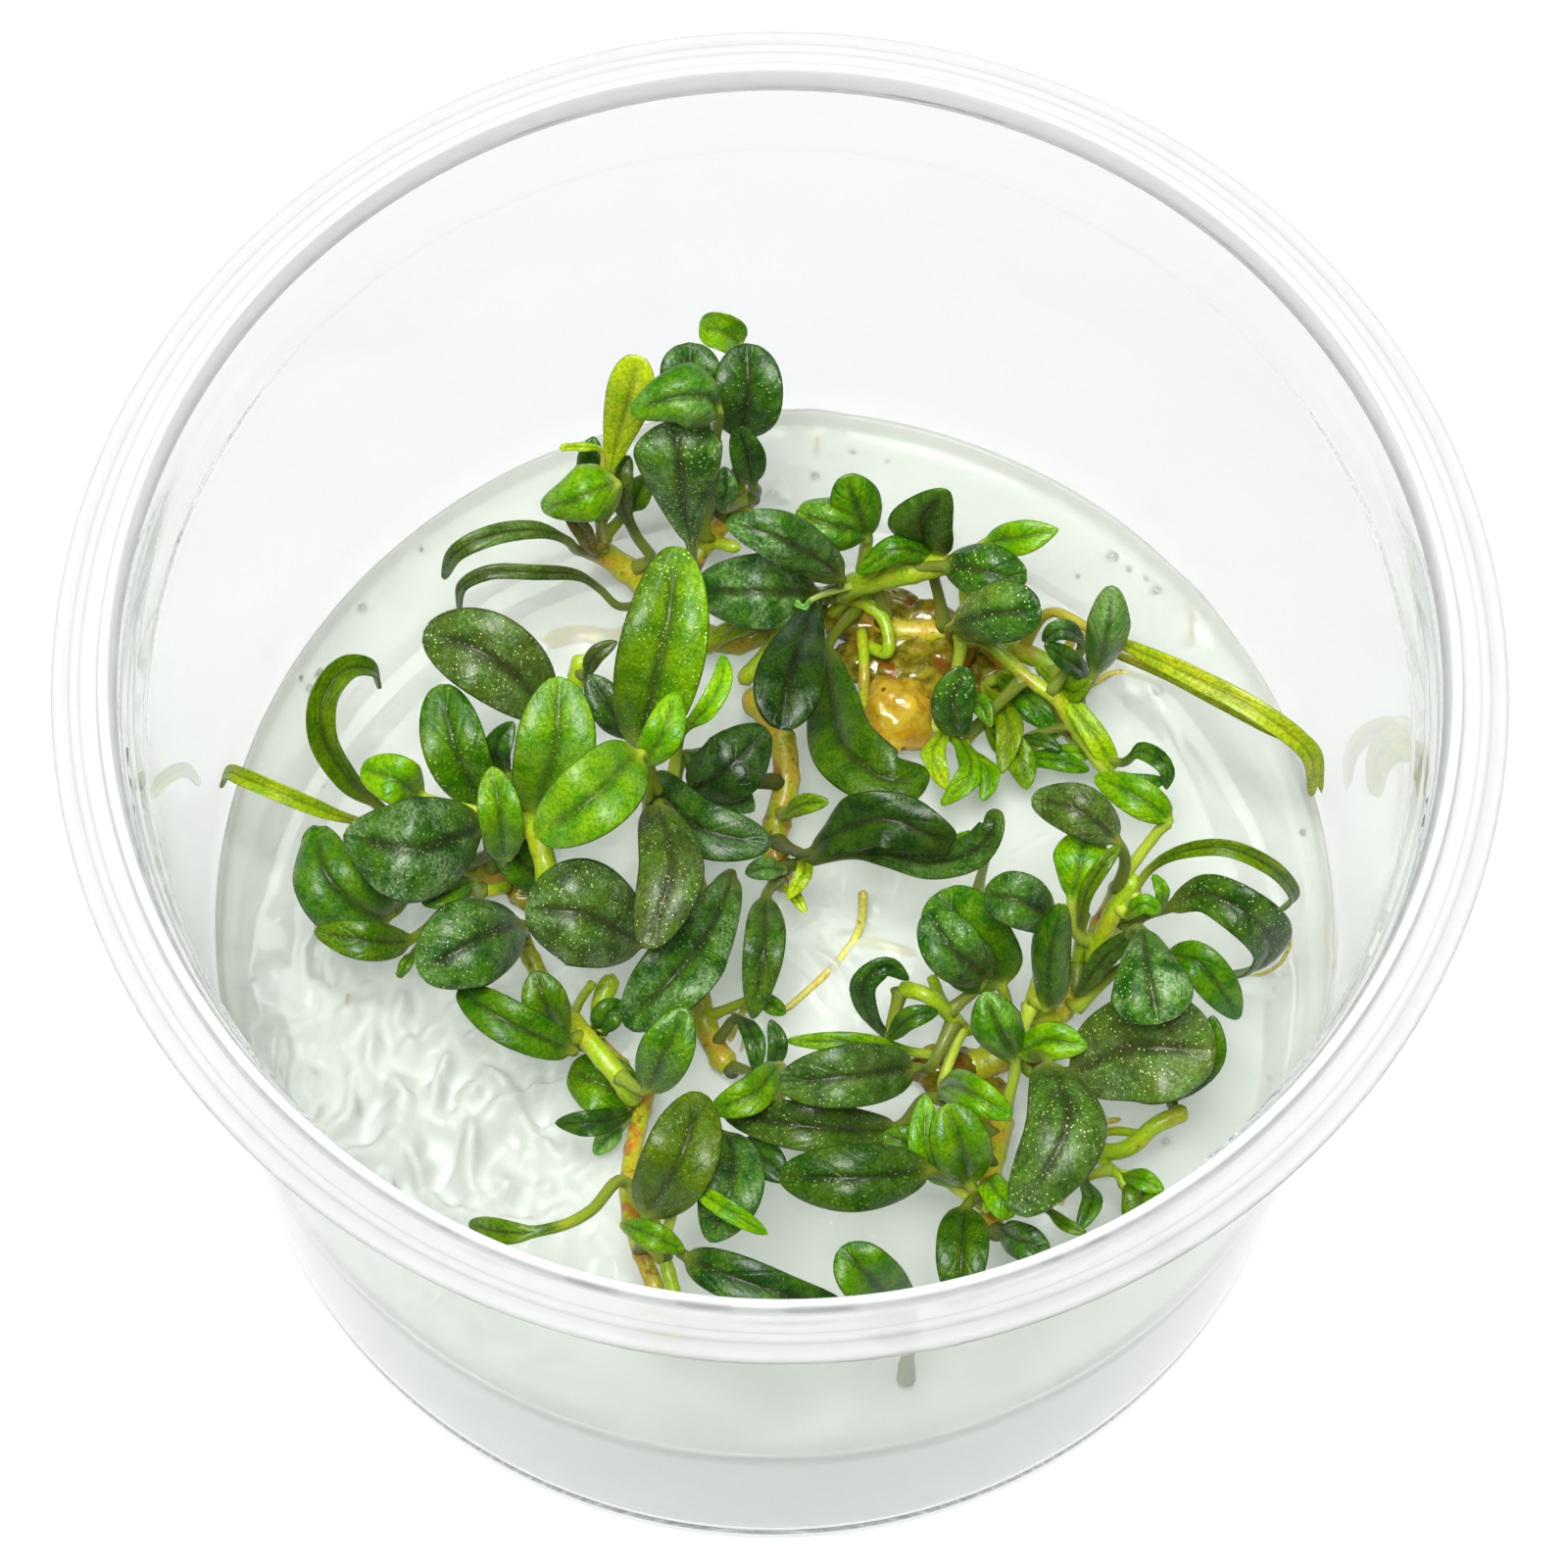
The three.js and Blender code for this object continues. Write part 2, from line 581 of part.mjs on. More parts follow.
// One named piece with its own material.
function piece(name, geometry, finish) {
  const skin = closedSkin(geometry)
  skin.computeVertexNormals()
  const mesh = new THREE.Mesh(skin, new THREE.MeshStandardMaterial(finish))
  mesh.name = name
  return mesh
}

const plant = new THREE.Group()
plant.add(piece('cup', cupGeometry(), CUP_MATERIAL))
plant.add(piece('gel', gelGeometry(), GEL_MATERIAL))
plant.add(piece('callus_lump', lumpGeometry(), LUMP_MATERIAL))
for (const [name, stem] of Object.entries(STEMS)) {
  plant.add(piece(name, stemGeometry(stem), STEM_MATERIAL))
}
for (const [name, leaf] of Object.entries(LEAVES)) {
  plant.add(piece(name, leafGeometry(leaf), { color: LEAF_COLOURS[leaf.tone], ...LEAF_FINISH }))
}

export default plant
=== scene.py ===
# A needle leaf plant (bucephalandra) grown in tissue culture, in its clear cup on a layer of gel.
# Metres, +Z up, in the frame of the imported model: the cup's foot stands on the floor at the origin.
import math
import random

import bmesh
import bpy
from mathutils import Matrix, Quaternion, Vector, kdtree, noise


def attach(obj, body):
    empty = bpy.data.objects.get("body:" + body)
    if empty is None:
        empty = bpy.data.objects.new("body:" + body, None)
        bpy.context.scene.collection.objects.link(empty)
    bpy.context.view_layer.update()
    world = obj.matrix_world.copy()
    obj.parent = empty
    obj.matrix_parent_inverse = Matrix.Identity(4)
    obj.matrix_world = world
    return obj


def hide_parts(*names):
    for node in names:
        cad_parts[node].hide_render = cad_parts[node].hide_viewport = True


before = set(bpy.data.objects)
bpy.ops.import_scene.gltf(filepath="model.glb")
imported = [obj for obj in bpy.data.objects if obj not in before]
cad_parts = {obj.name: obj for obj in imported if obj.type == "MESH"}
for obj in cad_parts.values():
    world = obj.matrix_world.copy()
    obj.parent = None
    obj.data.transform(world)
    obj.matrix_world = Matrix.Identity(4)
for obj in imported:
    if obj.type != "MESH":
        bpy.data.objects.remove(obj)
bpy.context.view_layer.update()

MM = 0.001


def srgb(red, green, blue):
    """A colour given as a screen shows it, from 0 to 255, in linear light."""
    parts = []
    for value in (red, green, blue):
        value /= 255
        parts.append(value / 12.92 if value <= 0.04045 else ((value + 0.055) / 1.055) ** 2.4)
    return (*parts, 1)


# Cup, in mm
CUP_HEIGHT = 72.5
CUP_SIDES = 256
MOUTH_RADIUS = 46
RIM_RADIUS = 50
RIM_TOP_OUTER = 46.7
LIP_ROUNDING = 0.22
FLANGE_TOP = 71.3
FLANGE_THICKNESS = 0.8
FLANGE_UNDER = FLANGE_TOP - FLANGE_THICKNESS
RIDGE_RADIUS = 48.4
RIDGE_HEIGHT = 0.2
RIDGE_FOOT = 0.35
RIDGE_CREST = 0.25
WALL_END = FLANGE_UNDER - 0.25
WALL_END_INNER = 45.55
RIM_CLEARANCE = 0.03
STEP_HEIGHT = 64
STEP_OUTER = 44.6
STEP_INNER = 44.1
STEP_WAVINESS = 0.12
FOOT_RADIUS = 42.7
FOOT_ROUNDING = 1.5
WALL_FOOT = 42
INNER_ROUNDING = 2
INNER_FOOT = 36
FLOOR = 1.2
FLOOR_UNDERSIDE = 0.7
SWEEP_RADIUS = 10

# Gel, in mm
GEL_TOP = 24.3
GEL_GAP = 0.12
GEL_RINGS = 124
GEL_SIDES = 470
GEL_SIDE_HEIGHTS = (22, 16, 9, FLOOR + INNER_ROUNDING)
GEL_WAVES = ((0.22, 14), (0.06, 4))
SCRATCH_DEPTH = 0.2
SCRATCH_WIDTH = 0.35
SCRATCH_REACH = 1.2
RISE_AT_STEMS = 0.45
RISE_WIDTH = 1.8
RISE_AT_WALL = 1.1
LYING_LOW = 0.8
BUBBLE_SHOWN = 0.5
BUBBLE_LIFT = 0.1

# Leaves, in mm and degrees. A foot's depth is a share of its stem's radius.
BLADE_THICKNESS = 0.36
EDGE_THICKNESS = 0.1
STALK_RADIUS = 0.42
STALK_SWELL = 0.7
FOOT_DEPTH = 0.4
FOOT_GAP = 0.6
SMALL_FOOT_DEPTH = 0.3
SMALL_FOOT_GAP = 0.1
STEM_REACH = 8
BLADE_STEP = 0.45
STALK_STEP = 0.6
TIP_HALF_WIDTH = 0.3
TIP_LENGTH = 0.07
GROOVE_DEPTH = 0.05
GROOVE_WIDTH = 0.4
KEEL_DEPTH = 0.2
KEEL_WIDTH = 0.32
RUFFLE = 0.09
CHANCE_TWIST = 8
CHANCE_SHADE = 0.04
LEAF_DEFAULTS = dict(
    widest=0.5, blunt=0.6, fold=8, curl=0, bulge=0.1, wave=0.035,
    warm=0, silver=0, speck=0.1, shade=0, half=0, tip=0, edge=0)

# Across a blade from the left margin (-1) over the midrib to the right margin (1), and round its section.
HALF_BLADE = [0, 0.05, 0.1, 0.17, 0.26, 0.38, 0.52, 0.66, 0.79, 0.89, 0.96, 1]
ACROSS = [-v for v in reversed(HALF_BLADE[1:])] + HALF_BLADE
RING = [(v, 0) for v in reversed(ACROSS)] + [(v, 1) for v in ACROSS[1:-1]]

# Stems and roots, in mm, and the scale of the noise that makes them lumpy.
STEM_STEP = 0.35
FOOT_STEP = 0.8
SCAR_SPACING = 3.4
SCAR_PLACE = 1.2
SCAR_WIDTH = 0.35
SCAR_HEIGHT = 0.16
STEM_LUMPS = 900.0
ROOT_LUMPS = 1200.0

# The eye point from which the plant is laid out, in mm and degrees, and its view of 1600 by 1600 units.
EYE = Vector((0, -154.8, 414.5))
EYE_PITCH = 67
EYE_YAW = 0.16
EYE_ROLL = 1.49
VIEW_FOCUS = 5600
VIEW_SIZE = 1600
SENSOR_WIDTH = 36

# Lights: place in metres, side of the square in metres, power in watts. The studio's own light fades
# from its foot to its top.
LIGHTS = {
    "key": ((-0.06, -0.14, 0.9), 0.4, 11.5),
    "back_softbox": ((-0.14, 0.34, 0.8), 0.25, 1.5),
    "sparkle": ((0.28, 0.34, 0.6), 0.1, 0.8),
}
LIGHT_AIM = Vector((0, 0, 0.03))
STUDIO_FOOT = 1.5
STUDIO_TOP = 0.5
FLOOR_SIZE = 4
FLOOR_GLOW = 0.97
CLEAR_BOUNCES = 48
DIFFUSE_BOUNCES = 3

# Colours and strengths of the finishes
# The first colour here is a painted sheen: soft silvery highlights painted onto the blades, not a colour of
# the leaf.
LEAF_SHARED = dict(Silver=srgb(118, 148, 96), Rib=srgb(46, 44, 28), Speck=srgb(196, 214, 140))
LEAF_TONES = {
    "dark": dict(
        Blade=srgb(63, 105, 18), Deep=srgb(26, 68, 10), Warm=srgb(86, 86, 34),
        Stalk=srgb(112, 124, 42), Under=srgb(112, 140, 62)),
    "mid": dict(
        Blade=srgb(86, 132, 2), Deep=srgb(47, 104, 0), Warm=srgb(132, 142, 8),
        Stalk=srgb(150, 168, 46), Under=srgb(134, 172, 70)),
    "bright": dict(
        Blade=srgb(112, 158, 0), Deep=srgb(76, 134, 0), Warm=srgb(160, 162, 8),
        Stalk=srgb(176, 192, 58), Under=srgb(150, 200, 80)),
    "young": dict(
        Blade=srgb(176, 200, 20), Deep=srgb(136, 176, 12), Warm=srgb(190, 156, 34),
        Stalk=srgb(190, 176, 60), Under=srgb(186, 212, 80)),
    "pale": dict(
        Blade=srgb(112, 152, 66), Deep=srgb(72, 126, 36), Warm=srgb(150, 150, 80),
        Stalk=srgb(160, 176, 80), Under=srgb(150, 180, 110)),
}
# A leaf whose shade is 1 is this many times lighter than one whose shade is 0.
SHADE_BASE = 3.2
# How dark the midrib is drawn on each tone of leaf
RIB_STRENGTHS = {"dark": 0.6, "mid": 0.5, "bright": 0.35, "young": 0.25, "pale": 0.4}
STEM_TONES = {
    "stem": dict(
        Fresh=srgb(166, 176, 22), Orange=srgb(198, 158, 44), Red=srgb(172, 84, 36), Brown=srgb(112, 82, 34),
        Patches=0.8),
    "stalk": dict(
        Fresh=srgb(152, 186, 16), Orange=srgb(184, 176, 34), Red=srgb(160, 104, 40), Brown=srgb(104, 98, 32),
        Patches=0.5),
    "root": dict(
        Fresh=srgb(214, 212, 92), Orange=srgb(214, 184, 90), Red=srgb(190, 140, 80), Brown=srgb(120, 80, 50),
        Patches=0.7),
}
WALL_CLEAR = srgb(245, 247, 246)
WALL_CLEARER = srgb(249, 251, 250)
WALL_ABOVE_GEL = srgb(240, 242, 241)
WALL_AT_FOOT = srgb(222, 236, 227)
RIM_WHITE = srgb(225, 226, 226)
RIM_HAZE = srgb(228, 229, 229)
# Painted shade: the grey of the fine lines at the lip's foot and the ridge's feet.
RIM_PAINTED_SHADE = srgb(208, 210, 210)
# Painted light: the whiter colour of the lip's inner part, which little light reaches.
LIP_PAINTED_LIGHT = srgb(252, 253, 253)
GEL_CLOUD = srgb(232, 237, 227)
GEL_CLEAR = srgb(241, 244, 237)
GEL_BELOW = srgb(251, 252, 251)
BUBBLE_CLEAR = (0.98, 0.99, 0.98, 1)
CALLUS_DARK = srgb(196, 148, 8)
CALLUS_LIGHT = srgb(232, 200, 56)
CALLUS_CELLS = srgb(236, 210, 120)
CALLUS_SPOTS = srgb(84, 52, 20)
TISSUE_OLIVE = srgb(112, 100, 14)
TISSUE_LIGHT = srgb(176, 168, 44)
TISSUE_BROWN = srgb(150, 88, 26)
FLOOR_GREY = (0.07, 0.07, 0.07, 1)

# Rumpled stretches of the gel: (across, down), reach in mm and height of the rumples in mm.
RUMPLES = [
    (360, 1020, 6, 1.6), (430, 1080, 9, 1.9), (520, 1160, 9, 1.9), (400, 1150, 7, 1.8),
    (480, 1220, 7, 1.5), (560, 1060, 5, 0.8), (850, 955, 5, 0.8), (330, 960, 4, 0.7), (860, 1000, 4, 0.5),
]

# Scratches in the gel's skin: lines of (across, down).
SCRATCHES = [
    [(846, 1244), (872, 1228), (904, 1240)], [(888, 1262), (900, 1290), (926, 1306)],
    [(808, 902), (845, 960), (870, 985)], [(830, 915), (880, 945)], [(1170, 700), (1215, 790), (1240, 860)],
    [(1070, 850), (1020, 880), (1030, 905)], [(640, 1200), (600, 1260), (560, 1300)],
]

# Air bubbles at the gel's surface: (across, down) and radius in mm.
BUBBLES = [
    (370, 620, 0.9), (328, 688, 1.1), (305, 692, 0.9), (316, 702, 0.6), (322, 672, 0.5),
    (1135, 568, 1.0), (1152, 580, 0.6), (1180, 602, 0.9), (1170, 590, 0.5), (1100, 588, 0.5),
    (832, 486, 0.8), (788, 505, 1.1), (800, 512, 0.7), (870, 462, 0.5), (905, 470, 0.5),
    (268, 780, 0.5), (330, 802, 0.4), (258, 1000, 0.5), (1300, 1010, 0.6), (1296, 1100, 0.6),
    (1190, 1165, 0.7), (430, 560, 0.6), (1330, 850, 0.6), (1340, 862, 0.4), (560, 1080, 0.4),
]
BUBBLE_FINENESS = 4

# Lumps of callus and of tissue: (across, down, height), radii in mm and how knobbly each is.
CALLUS_LUMPS = [((913, 730, 26.8), (3.1, 3.2, 2.2), 0.14)]
CALLUS_FINENESS = 5
TISSUE_LUMPS = [
    ((872, 634, 26.4), (2.6, 1.8, 1.4), 0.3), ((918, 650, 26.2), (3, 1.9, 1.3), 0.3),
    ((966, 668, 26.4), (2.4, 1.8, 1.3), 0.3), ((1012, 690, 26), (2.2, 1.9, 1.1), 0.3),
    ((884, 672, 25.8), (2.4, 1.9, 1.2), 0.3), ((926, 688, 26), (2.8, 2, 1.3), 0.3),
    ((900, 620, 26), (2.8, 1.7, 1.2), 0.3), ((944, 636, 26.4), (2.6, 1.8, 1.3), 0.3),
    ((968, 706, 25.6), (1.8, 1.6, 1.1), 0.3), ((965, 1092, 26.3), (2.8, 1.9, 1.5), 0.3),
    ((1052, 1066, 27), (2.4, 2, 1.6), 0.3), ((1012, 1128, 27), (1.5, 2.2, 1.5), 0.3),
    ((548, 912, 26.6), (2.2, 1.5, 1.3), 0.3),
]
TISSUE_FINENESS = 4

# A point of a stem or leaf is (across, down, height): where the eye sees it, and its height in mm.
STEMS = {
    "back_stem": dict(
        radius=0.98,
        points=[(594, 550, 32), (640, 582, 29), (690, 630, 26.4), (745, 655, 25.8), (800, 632, 26.4),
                (846, 604, 27.6)]),
    "top_stem": dict(radius=0.74, points=[(697, 598, 30.2), (722, 552, 31.5), (768, 507, 35)]),
    "left_stem": dict(
        radius=1.07, points=[(385, 838, 28.5), (440, 868, 26.2), (505, 893, 25.9), (558, 905, 26.8)]),
    "low_left_stem": dict(
        radius=0.66,
        points=[(640, 1095, 25.5), (620, 1075, 26), (583, 1040, 27.4), (548, 990, 28), (530, 950, 28.5)]),
    "middle_stem": dict(
        radius=0.9,
        points=[(745, 1095, 25.8), (722, 1052, 25.8), (712, 1012, 26.4), (706, 960, 27.4),
                (708, 905, 28.5), (695, 855, 30), (676, 812, 32)]),
    "centre_stem": dict(
        radius=1.01,
        points=[(762, 706, 28.2), (796, 750, 29.4), (802, 800, 28.8), (790, 860, 27.2),
                (798, 905, 26.1)]),
    "right_stem": dict(
        radius=0.86,
        points=[(870, 608, 28.2), (905, 640, 27), (955, 645, 27), (1005, 655, 27.6), (1048, 698, 27.2),
                (1095, 745, 26.4), (1137, 782, 26)]),
    "lower_right_stem": dict(
        radius=1.2,
        points=[(1155, 898, 37), (1130, 945, 33.5), (1100, 1000, 30), (1058, 1050, 27.6),
                (1005, 1085, 26.2), (960, 1080, 26.1)]),
    "front_right_stem": dict(
        radius=0.82, points=[(1020, 1115, 26), (1022, 1150, 29), (1010, 1205, 31.5), (1013, 1260, 32.5)]),
    "front_stem": dict(
        radius=0.66,
        points=[(668, 1082, 25.5), (656, 1130, 28.5), (645, 1180, 30.5), (641, 1220, 32), (652, 1270, 34),
                (668, 1312, 34.5), (677, 1346, 33)]),
}

# Leaves on their stems. Form, in mm or degrees: width; widest, the place of the greatest width; blunt,
# lower for blunter ends; fold at the midrib; curl, bulge and wave of the blade; twist. Tones: warm;
# silver, how much painted sheen (soft highlights painted into the colour); speck, shade; half, a
# difference between the halves; tip and edge, how far these turn yellow.
LEAVES = {
    "back_tip_leaf": dict(
        stem="top_stem", at=0.97, tone="bright", width=2.8, blunt=0.45, curl=0.6, silver=0.2, speck=0.3,
        shade=0.04,
        stalk=[(766, 450, 39), (762, 385, 43.5)],
        blade=[(755, 354, 46.5), (736, 338, 48.5), (713, 336, 48)]),
    "back_round_leaf": dict(
        stem="top_stem", at=0.78, tone="dark", width=5.3, blunt=0.46, fold=18, silver=0.3, speck=0.7,
        shade=-0.14, half=0.25,
        stalk=[(754, 475, 40)],
        blade=[(758, 446, 44), (763, 398, 49.5), (762, 350, 51)]),
    "back_pointed_leaf": dict(
        stem="top_stem", at=0.55, tone="mid", width=5, widest=0.36, blunt=0.55, fold=-15, curl=-0.25,
        bulge=0.3, silver=0.6, speck=0.3, shade=0.08,
        stalk=[(722, 500, 38), (730, 446, 44)],
        blade=[(732, 418, 50), (714, 404, 53.5), (686, 406, 54), (643, 422, 52.5)]),
    "back_broad_leaf": dict(
        stem="top_stem", at=0.2, tone="dark", width=6.7, widest=0.68, blunt=0.55, fold=-10, wave=0.06,
        warm=0.15, silver=0.8, speck=1, shade=0.24,
        blade=[(706, 562, 35), (697, 510, 42), (692, 462, 47), (688, 428, 48)]),
    "back_upright_leaf": dict(
        stem="back_stem", at=0.04, tone="young", width=3.6, widest=0.7, blunt=0.42, fold=12, warm=0.1,
        speck=0.3, shade=-0.03,
        stalk=[(612, 524, 36)],
        blade=[(620, 492, 41), (631, 444, 46), (643, 402, 50), (651, 362, 53)]),
    "upper_strap_leaf": dict(
        stem="back_stem", at=0.03, tone="dark", width=1.6, blunt=0.4, fold=14, warm=0.5, silver=0.4,
        shade=0.16,
        stalk=[(588, 561, 35.5)],
        blade=[(579, 552, 38), (547, 541, 41.5), (503, 546, 43.5), (468, 562, 43), (452, 591, 39)]),
    "lower_strap_leaf": dict(
        stem="back_stem", at=0.3, tone="dark", width=1.2, blunt=0.4, fold=14, warm=0.5, silver=0.2,
        stalk=[(630, 618, 32)],
        blade=[(613, 602, 34), (588, 587, 37), (545, 584, 39.5), (500, 584, 40), (474, 596, 39),
               (468, 624, 35)]),
    "silver_leaf": dict(
        stem="back_stem", at=0.97, tone="dark", width=4.1, blunt=0.5, fold=-14, bulge=0.12, silver=1,
        shade=0.14,
        blade=[(858, 590, 36.5), (828, 567, 42.5), (790, 546, 46), (741, 532, 46)]),
    "upright_dark_leaf": dict(
        stem="back_stem", at=0.88, tone="dark", width=5.2, widest=0.68, blunt=0.5, fold=14, silver=0.15,
        speck=0.5, shade=-0.76,
        blade=[(832, 604, 33), (820, 650, 38), (803, 700, 41), (796, 745, 41)]),
    "sickle_leaf": dict(
        stem="right_stem", at=0.04, tone="mid", width=5.2, blunt=0.55, fold=12, warm=0.1, speck=0.3,
        shade=-0.56,
        blade=[(845, 660, 32), (850, 715, 34.5), (868, 770, 37.5), (912, 797, 38.5), (948, 788, 37.5)]),
    "spotted_leaf": dict(
        stem="middle_stem", at=0.97, tone="mid", width=6.5, blunt=0.46, fold=12, bulge=0.14, warm=0.2,
        speck=1, shade=0.11, half=0.3,
        blade=[(657, 764, 38), (668, 700, 44.5), (682, 632, 48), (690, 557, 48.5)]),
    "glossy_leaf": dict(
        stem="centre_stem", at=0.5, tone="dark", width=5.2, blunt=0.5, fold=-14, wave=0.12, silver=0.5,
        speck=0.2, shade=-0.66,
        stalk=[(722, 800, 34)],
        blade=[(706, 806, 38.5), (745, 782, 42.5), (782, 742, 42)]),
    "wavy_leaf": dict(
        stem="centre_stem", at=0.75, tone="dark", width=4.2, blunt=0.42, fold=16, wave=0.35, twist=40,
        warm=0.1, shade=-0.41, tip=0.3,
        stalk=[(810, 868, 32)],
        blade=[(828, 870, 37), (862, 846, 41), (905, 836, 43), (945, 850, 42.5), (972, 862, 41)]),
    "striped_leaf": dict(
        stem="centre_stem", at=0.9, tone="dark", width=2.7, widest=0.55, blunt=0.5, fold=14, warm=0.1,
        silver=0.3, speck=0.3, shade=0.03, tip=0.2,
        stalk=[(822, 880, 31)],
        blade=[(862, 872, 34), (905, 872, 36.5), (950, 880, 37.5), (995, 868, 39.5), (1014, 842, 41.5),
               (1010, 827, 41)]),
    "square_bright_leaf": dict(
        stem="right_stem", at=0.03, tone="mid", width=4.4, blunt=0.4, fold=-12, curl=-0.3, bulge=0.3,
        silver=0.3, speck=0.7, shade=0.14,
        stalk=[(880, 575, 34)],
        blade=[(884, 545, 38), (848, 536, 41), (812, 522, 40.5)]),
    "brown_patch_leaf": dict(
        stem="right_stem", at=0.36, tone="dark", width=5.2, widest=0.36, fold=10, bulge=0.2, warm=0.2,
        speck=0.4, shade=0.14, half=-0.3,
        stalk=[(957, 605, 30.5)],
        blade=[(946, 562, 36), (942, 530, 41.5), (966, 499, 46)]),
    "pointed_bright_leaf": dict(
        stem="right_stem", at=0.44, tone="bright", width=2.7, blunt=0.8, fold=10, speck=0.3, shade=0.09,
        stalk=[(985, 585, 33)],
        blade=[(1003, 556, 37.5), (1040, 549, 41), (1081, 540, 42)]),
    "blunt_dark_leaf": dict(
        stem="right_stem", at=0.13, tone="dark", width=4.3, blunt=0.42, fold=-12, bulge=0.16, speck=1,
        shade=0.14,
        stalk=[(900, 590, 33.5)],
        blade=[(964, 577, 37.5), (1005, 583, 40.5), (1048, 593, 40)]),
    "yellow_tipped_leaf": dict(
        stem="right_stem", at=0.4, tone="dark", width=4.7, widest=0.6, blunt=0.42, fold=-14, bulge=0.16,
        silver=0.2, speck=1, shade=0.24, edge=-2.2,
        blade=[(972, 640, 34.5), (1012, 626, 41.5), (1063, 622, 43.5)]),
    "long_yellow_leaf": dict(
        stem="right_stem", at=0.6, tone="young", width=1.7, blunt=0.35, fold=14, bulge=0.02, warm=0.25,
        shade=-0.15,
        stalk=[(1072, 625, 34.5)],
        blade=[(1120, 646, 37), (1200, 682, 40), (1290, 730, 40.5), (1335, 768, 38), (1339, 812, 33.5)]),
    "pale_curled_leaf": dict(
        stem="right_stem", at=0.86, tone="pale", width=3.3, blunt=0.5, fold=-16, curl=-0.4, silver=0.5,
        speck=0.3, shade=-0.15,
        stalk=[(1102, 712, 31)],
        blade=[(1116, 688, 35), (1130, 645, 42.5), (1135, 597, 44.5)]),
    "brown_leaf": dict(
        stem="left_stem", at=0.9, tone="dark", width=6.4, blunt=0.48, warm=0.55, silver=0.5, speck=1,
        shade=0.01,
        stalk=[(562, 778, 33)],
        blade=[(557, 730, 37.5), (500, 670, 43), (432, 644, 42.5)]),
    "green_side_leaf": dict(
        stem="left_stem", at=0.66, tone="mid", width=4.8, widest=0.56, blunt=0.46, fold=12, speck=1,
        shade=-0.24,
        stalk=[(497, 850, 31)],
        blade=[(494, 826, 34.5), (466, 768, 40), (449, 698, 41)]),
    "bright_upright_leaf": dict(
        stem="left_stem", at=0.8, tone="bright", width=5.9, blunt=0.5, fold=12, silver=0.3, speck=0.5,
        shade=-0.05,
        stalk=[(541, 868, 33)],
        blade=[(546, 832, 38), (567, 760, 45), (571, 690, 47)]),
    "bright_tilted_leaf": dict(
        stem="middle_stem", at=0.9, tone="bright", width=5.6, blunt=0.48, fold=12, silver=0.3, speck=0.3,
        shade=-0.05,
        stalk=[(668, 800, 39)],
        blade=[(652, 770, 46), (608, 811, 49.5), (548, 856, 46.5)]),
    "hooked_leaf": dict(
        stem="left_stem", at=0.13, tone="mid", width=2.2, widest=0.4, blunt=0.45, fold=16, curl=0.5,
        warm=0.3, shade=-0.3,
        blade=[(386, 822, 33.5), (352, 790, 38), (329, 748, 41), (331, 710, 42.5), (352, 684, 42.5),
               (378, 684, 41), (388, 702, 38.5)]),
    "long_hooked_leaf": dict(
        stem="left_stem", at=0.02, tone="young", width=1.4, blunt=0.4, fold=14, curl=0.5, warm=0.1,
        shade=-0.15,
        blade=[(368, 839, 32), (335, 829, 35.5), (295, 813, 37.5), (250, 794, 37.5), (236, 789, 36.5),
               (225, 803, 33.5)]),
    "bluish_leaf": dict(
        stem="left_stem", at=0.55, tone="dark", width=8, blunt=0.66, fold=-14, wave=0.06, silver=1,
        speck=0.6, shade=-0.11,
        stalk=[(500, 868, 33)],
        blade=[(492, 846, 36.5), (422, 866, 42), (350, 852, 40.5)]),
    "folded_leaf": dict(
        stem="left_stem", at=0.3, tone="mid", width=6.2, widest=0.4, blunt=0.45, fold=-14, bulge=0.2,
        wave=0.08, silver=0.4, shade=-0.19,
        blade=[(399, 932, 32.5), (362, 922, 36.5), (333, 892, 38), (323, 843, 36.5)]),
    "dark_oval_leaf": dict(
        stem="low_left_stem", at=0.97, tone="dark", width=6.7, blunt=0.48, fold=-12, bulge=0.14,
        silver=0.6, speck=0.9,
        blade=[(531, 944, 35), (480, 962, 42), (428, 995, 41)]),
    "low_green_leaf": dict(
        stem="low_left_stem", at=0.38, tone="mid", width=3.4, blunt=0.45, fold=12, speck=0.2, shade=-0.26,
        stalk=[(575, 1066, 30)],
        blade=[(583, 1072, 35), (520, 1044, 38.5), (467, 1009, 37.5)]),
    "middle_oval_leaf": dict(
        stem="middle_stem", at=0.42, tone="dark", width=8, blunt=0.48, fold=-12, bulge=0.14, warm=0.3,
        silver=0.7, speck=0.9,
        stalk=[(684, 962, 32)],
        blade=[(655, 962, 37), (594, 932, 42.5), (535, 927, 42)]),
    "spotted_dark_leaf": dict(
        stem="middle_stem", at=0.8, tone="dark", width=4.8, blunt=0.45, fold=-10, warm=0.5, silver=0.3,
        speck=1, shade=0.02,
        stalk=[(690, 835, 36)],
        blade=[(672, 822, 42), (685, 890, 47), (659, 968, 45.5)]),
    "shiny_dark_leaf": dict(
        stem="middle_stem", at=0.62, tone="dark", width=5.4, widest=0.58, blunt=0.48, fold=12, wave=0.08,
        silver=1, speck=0.5, shade=0.1,
        blade=[(746, 892, 34.5), (716, 962, 39.5), (684, 1000, 40.5), (638, 1048, 37.5)]),
    "narrow_oval_leaf": dict(
        stem="centre_stem", at=0.97, tone="dark", width=3.1, fold=12, warm=0.3, speck=0.4, shade=0.07,
        blade=[(782, 914, 32), (780, 965, 37.5), (768, 1040, 34)]),
    "front_green_leaf": dict(
        stem="front_stem", at=0.7, tone="mid", width=5.4, blunt=0.5, fold=12, warm=0.4, silver=0.2,
        speck=1, shade=-0.49,
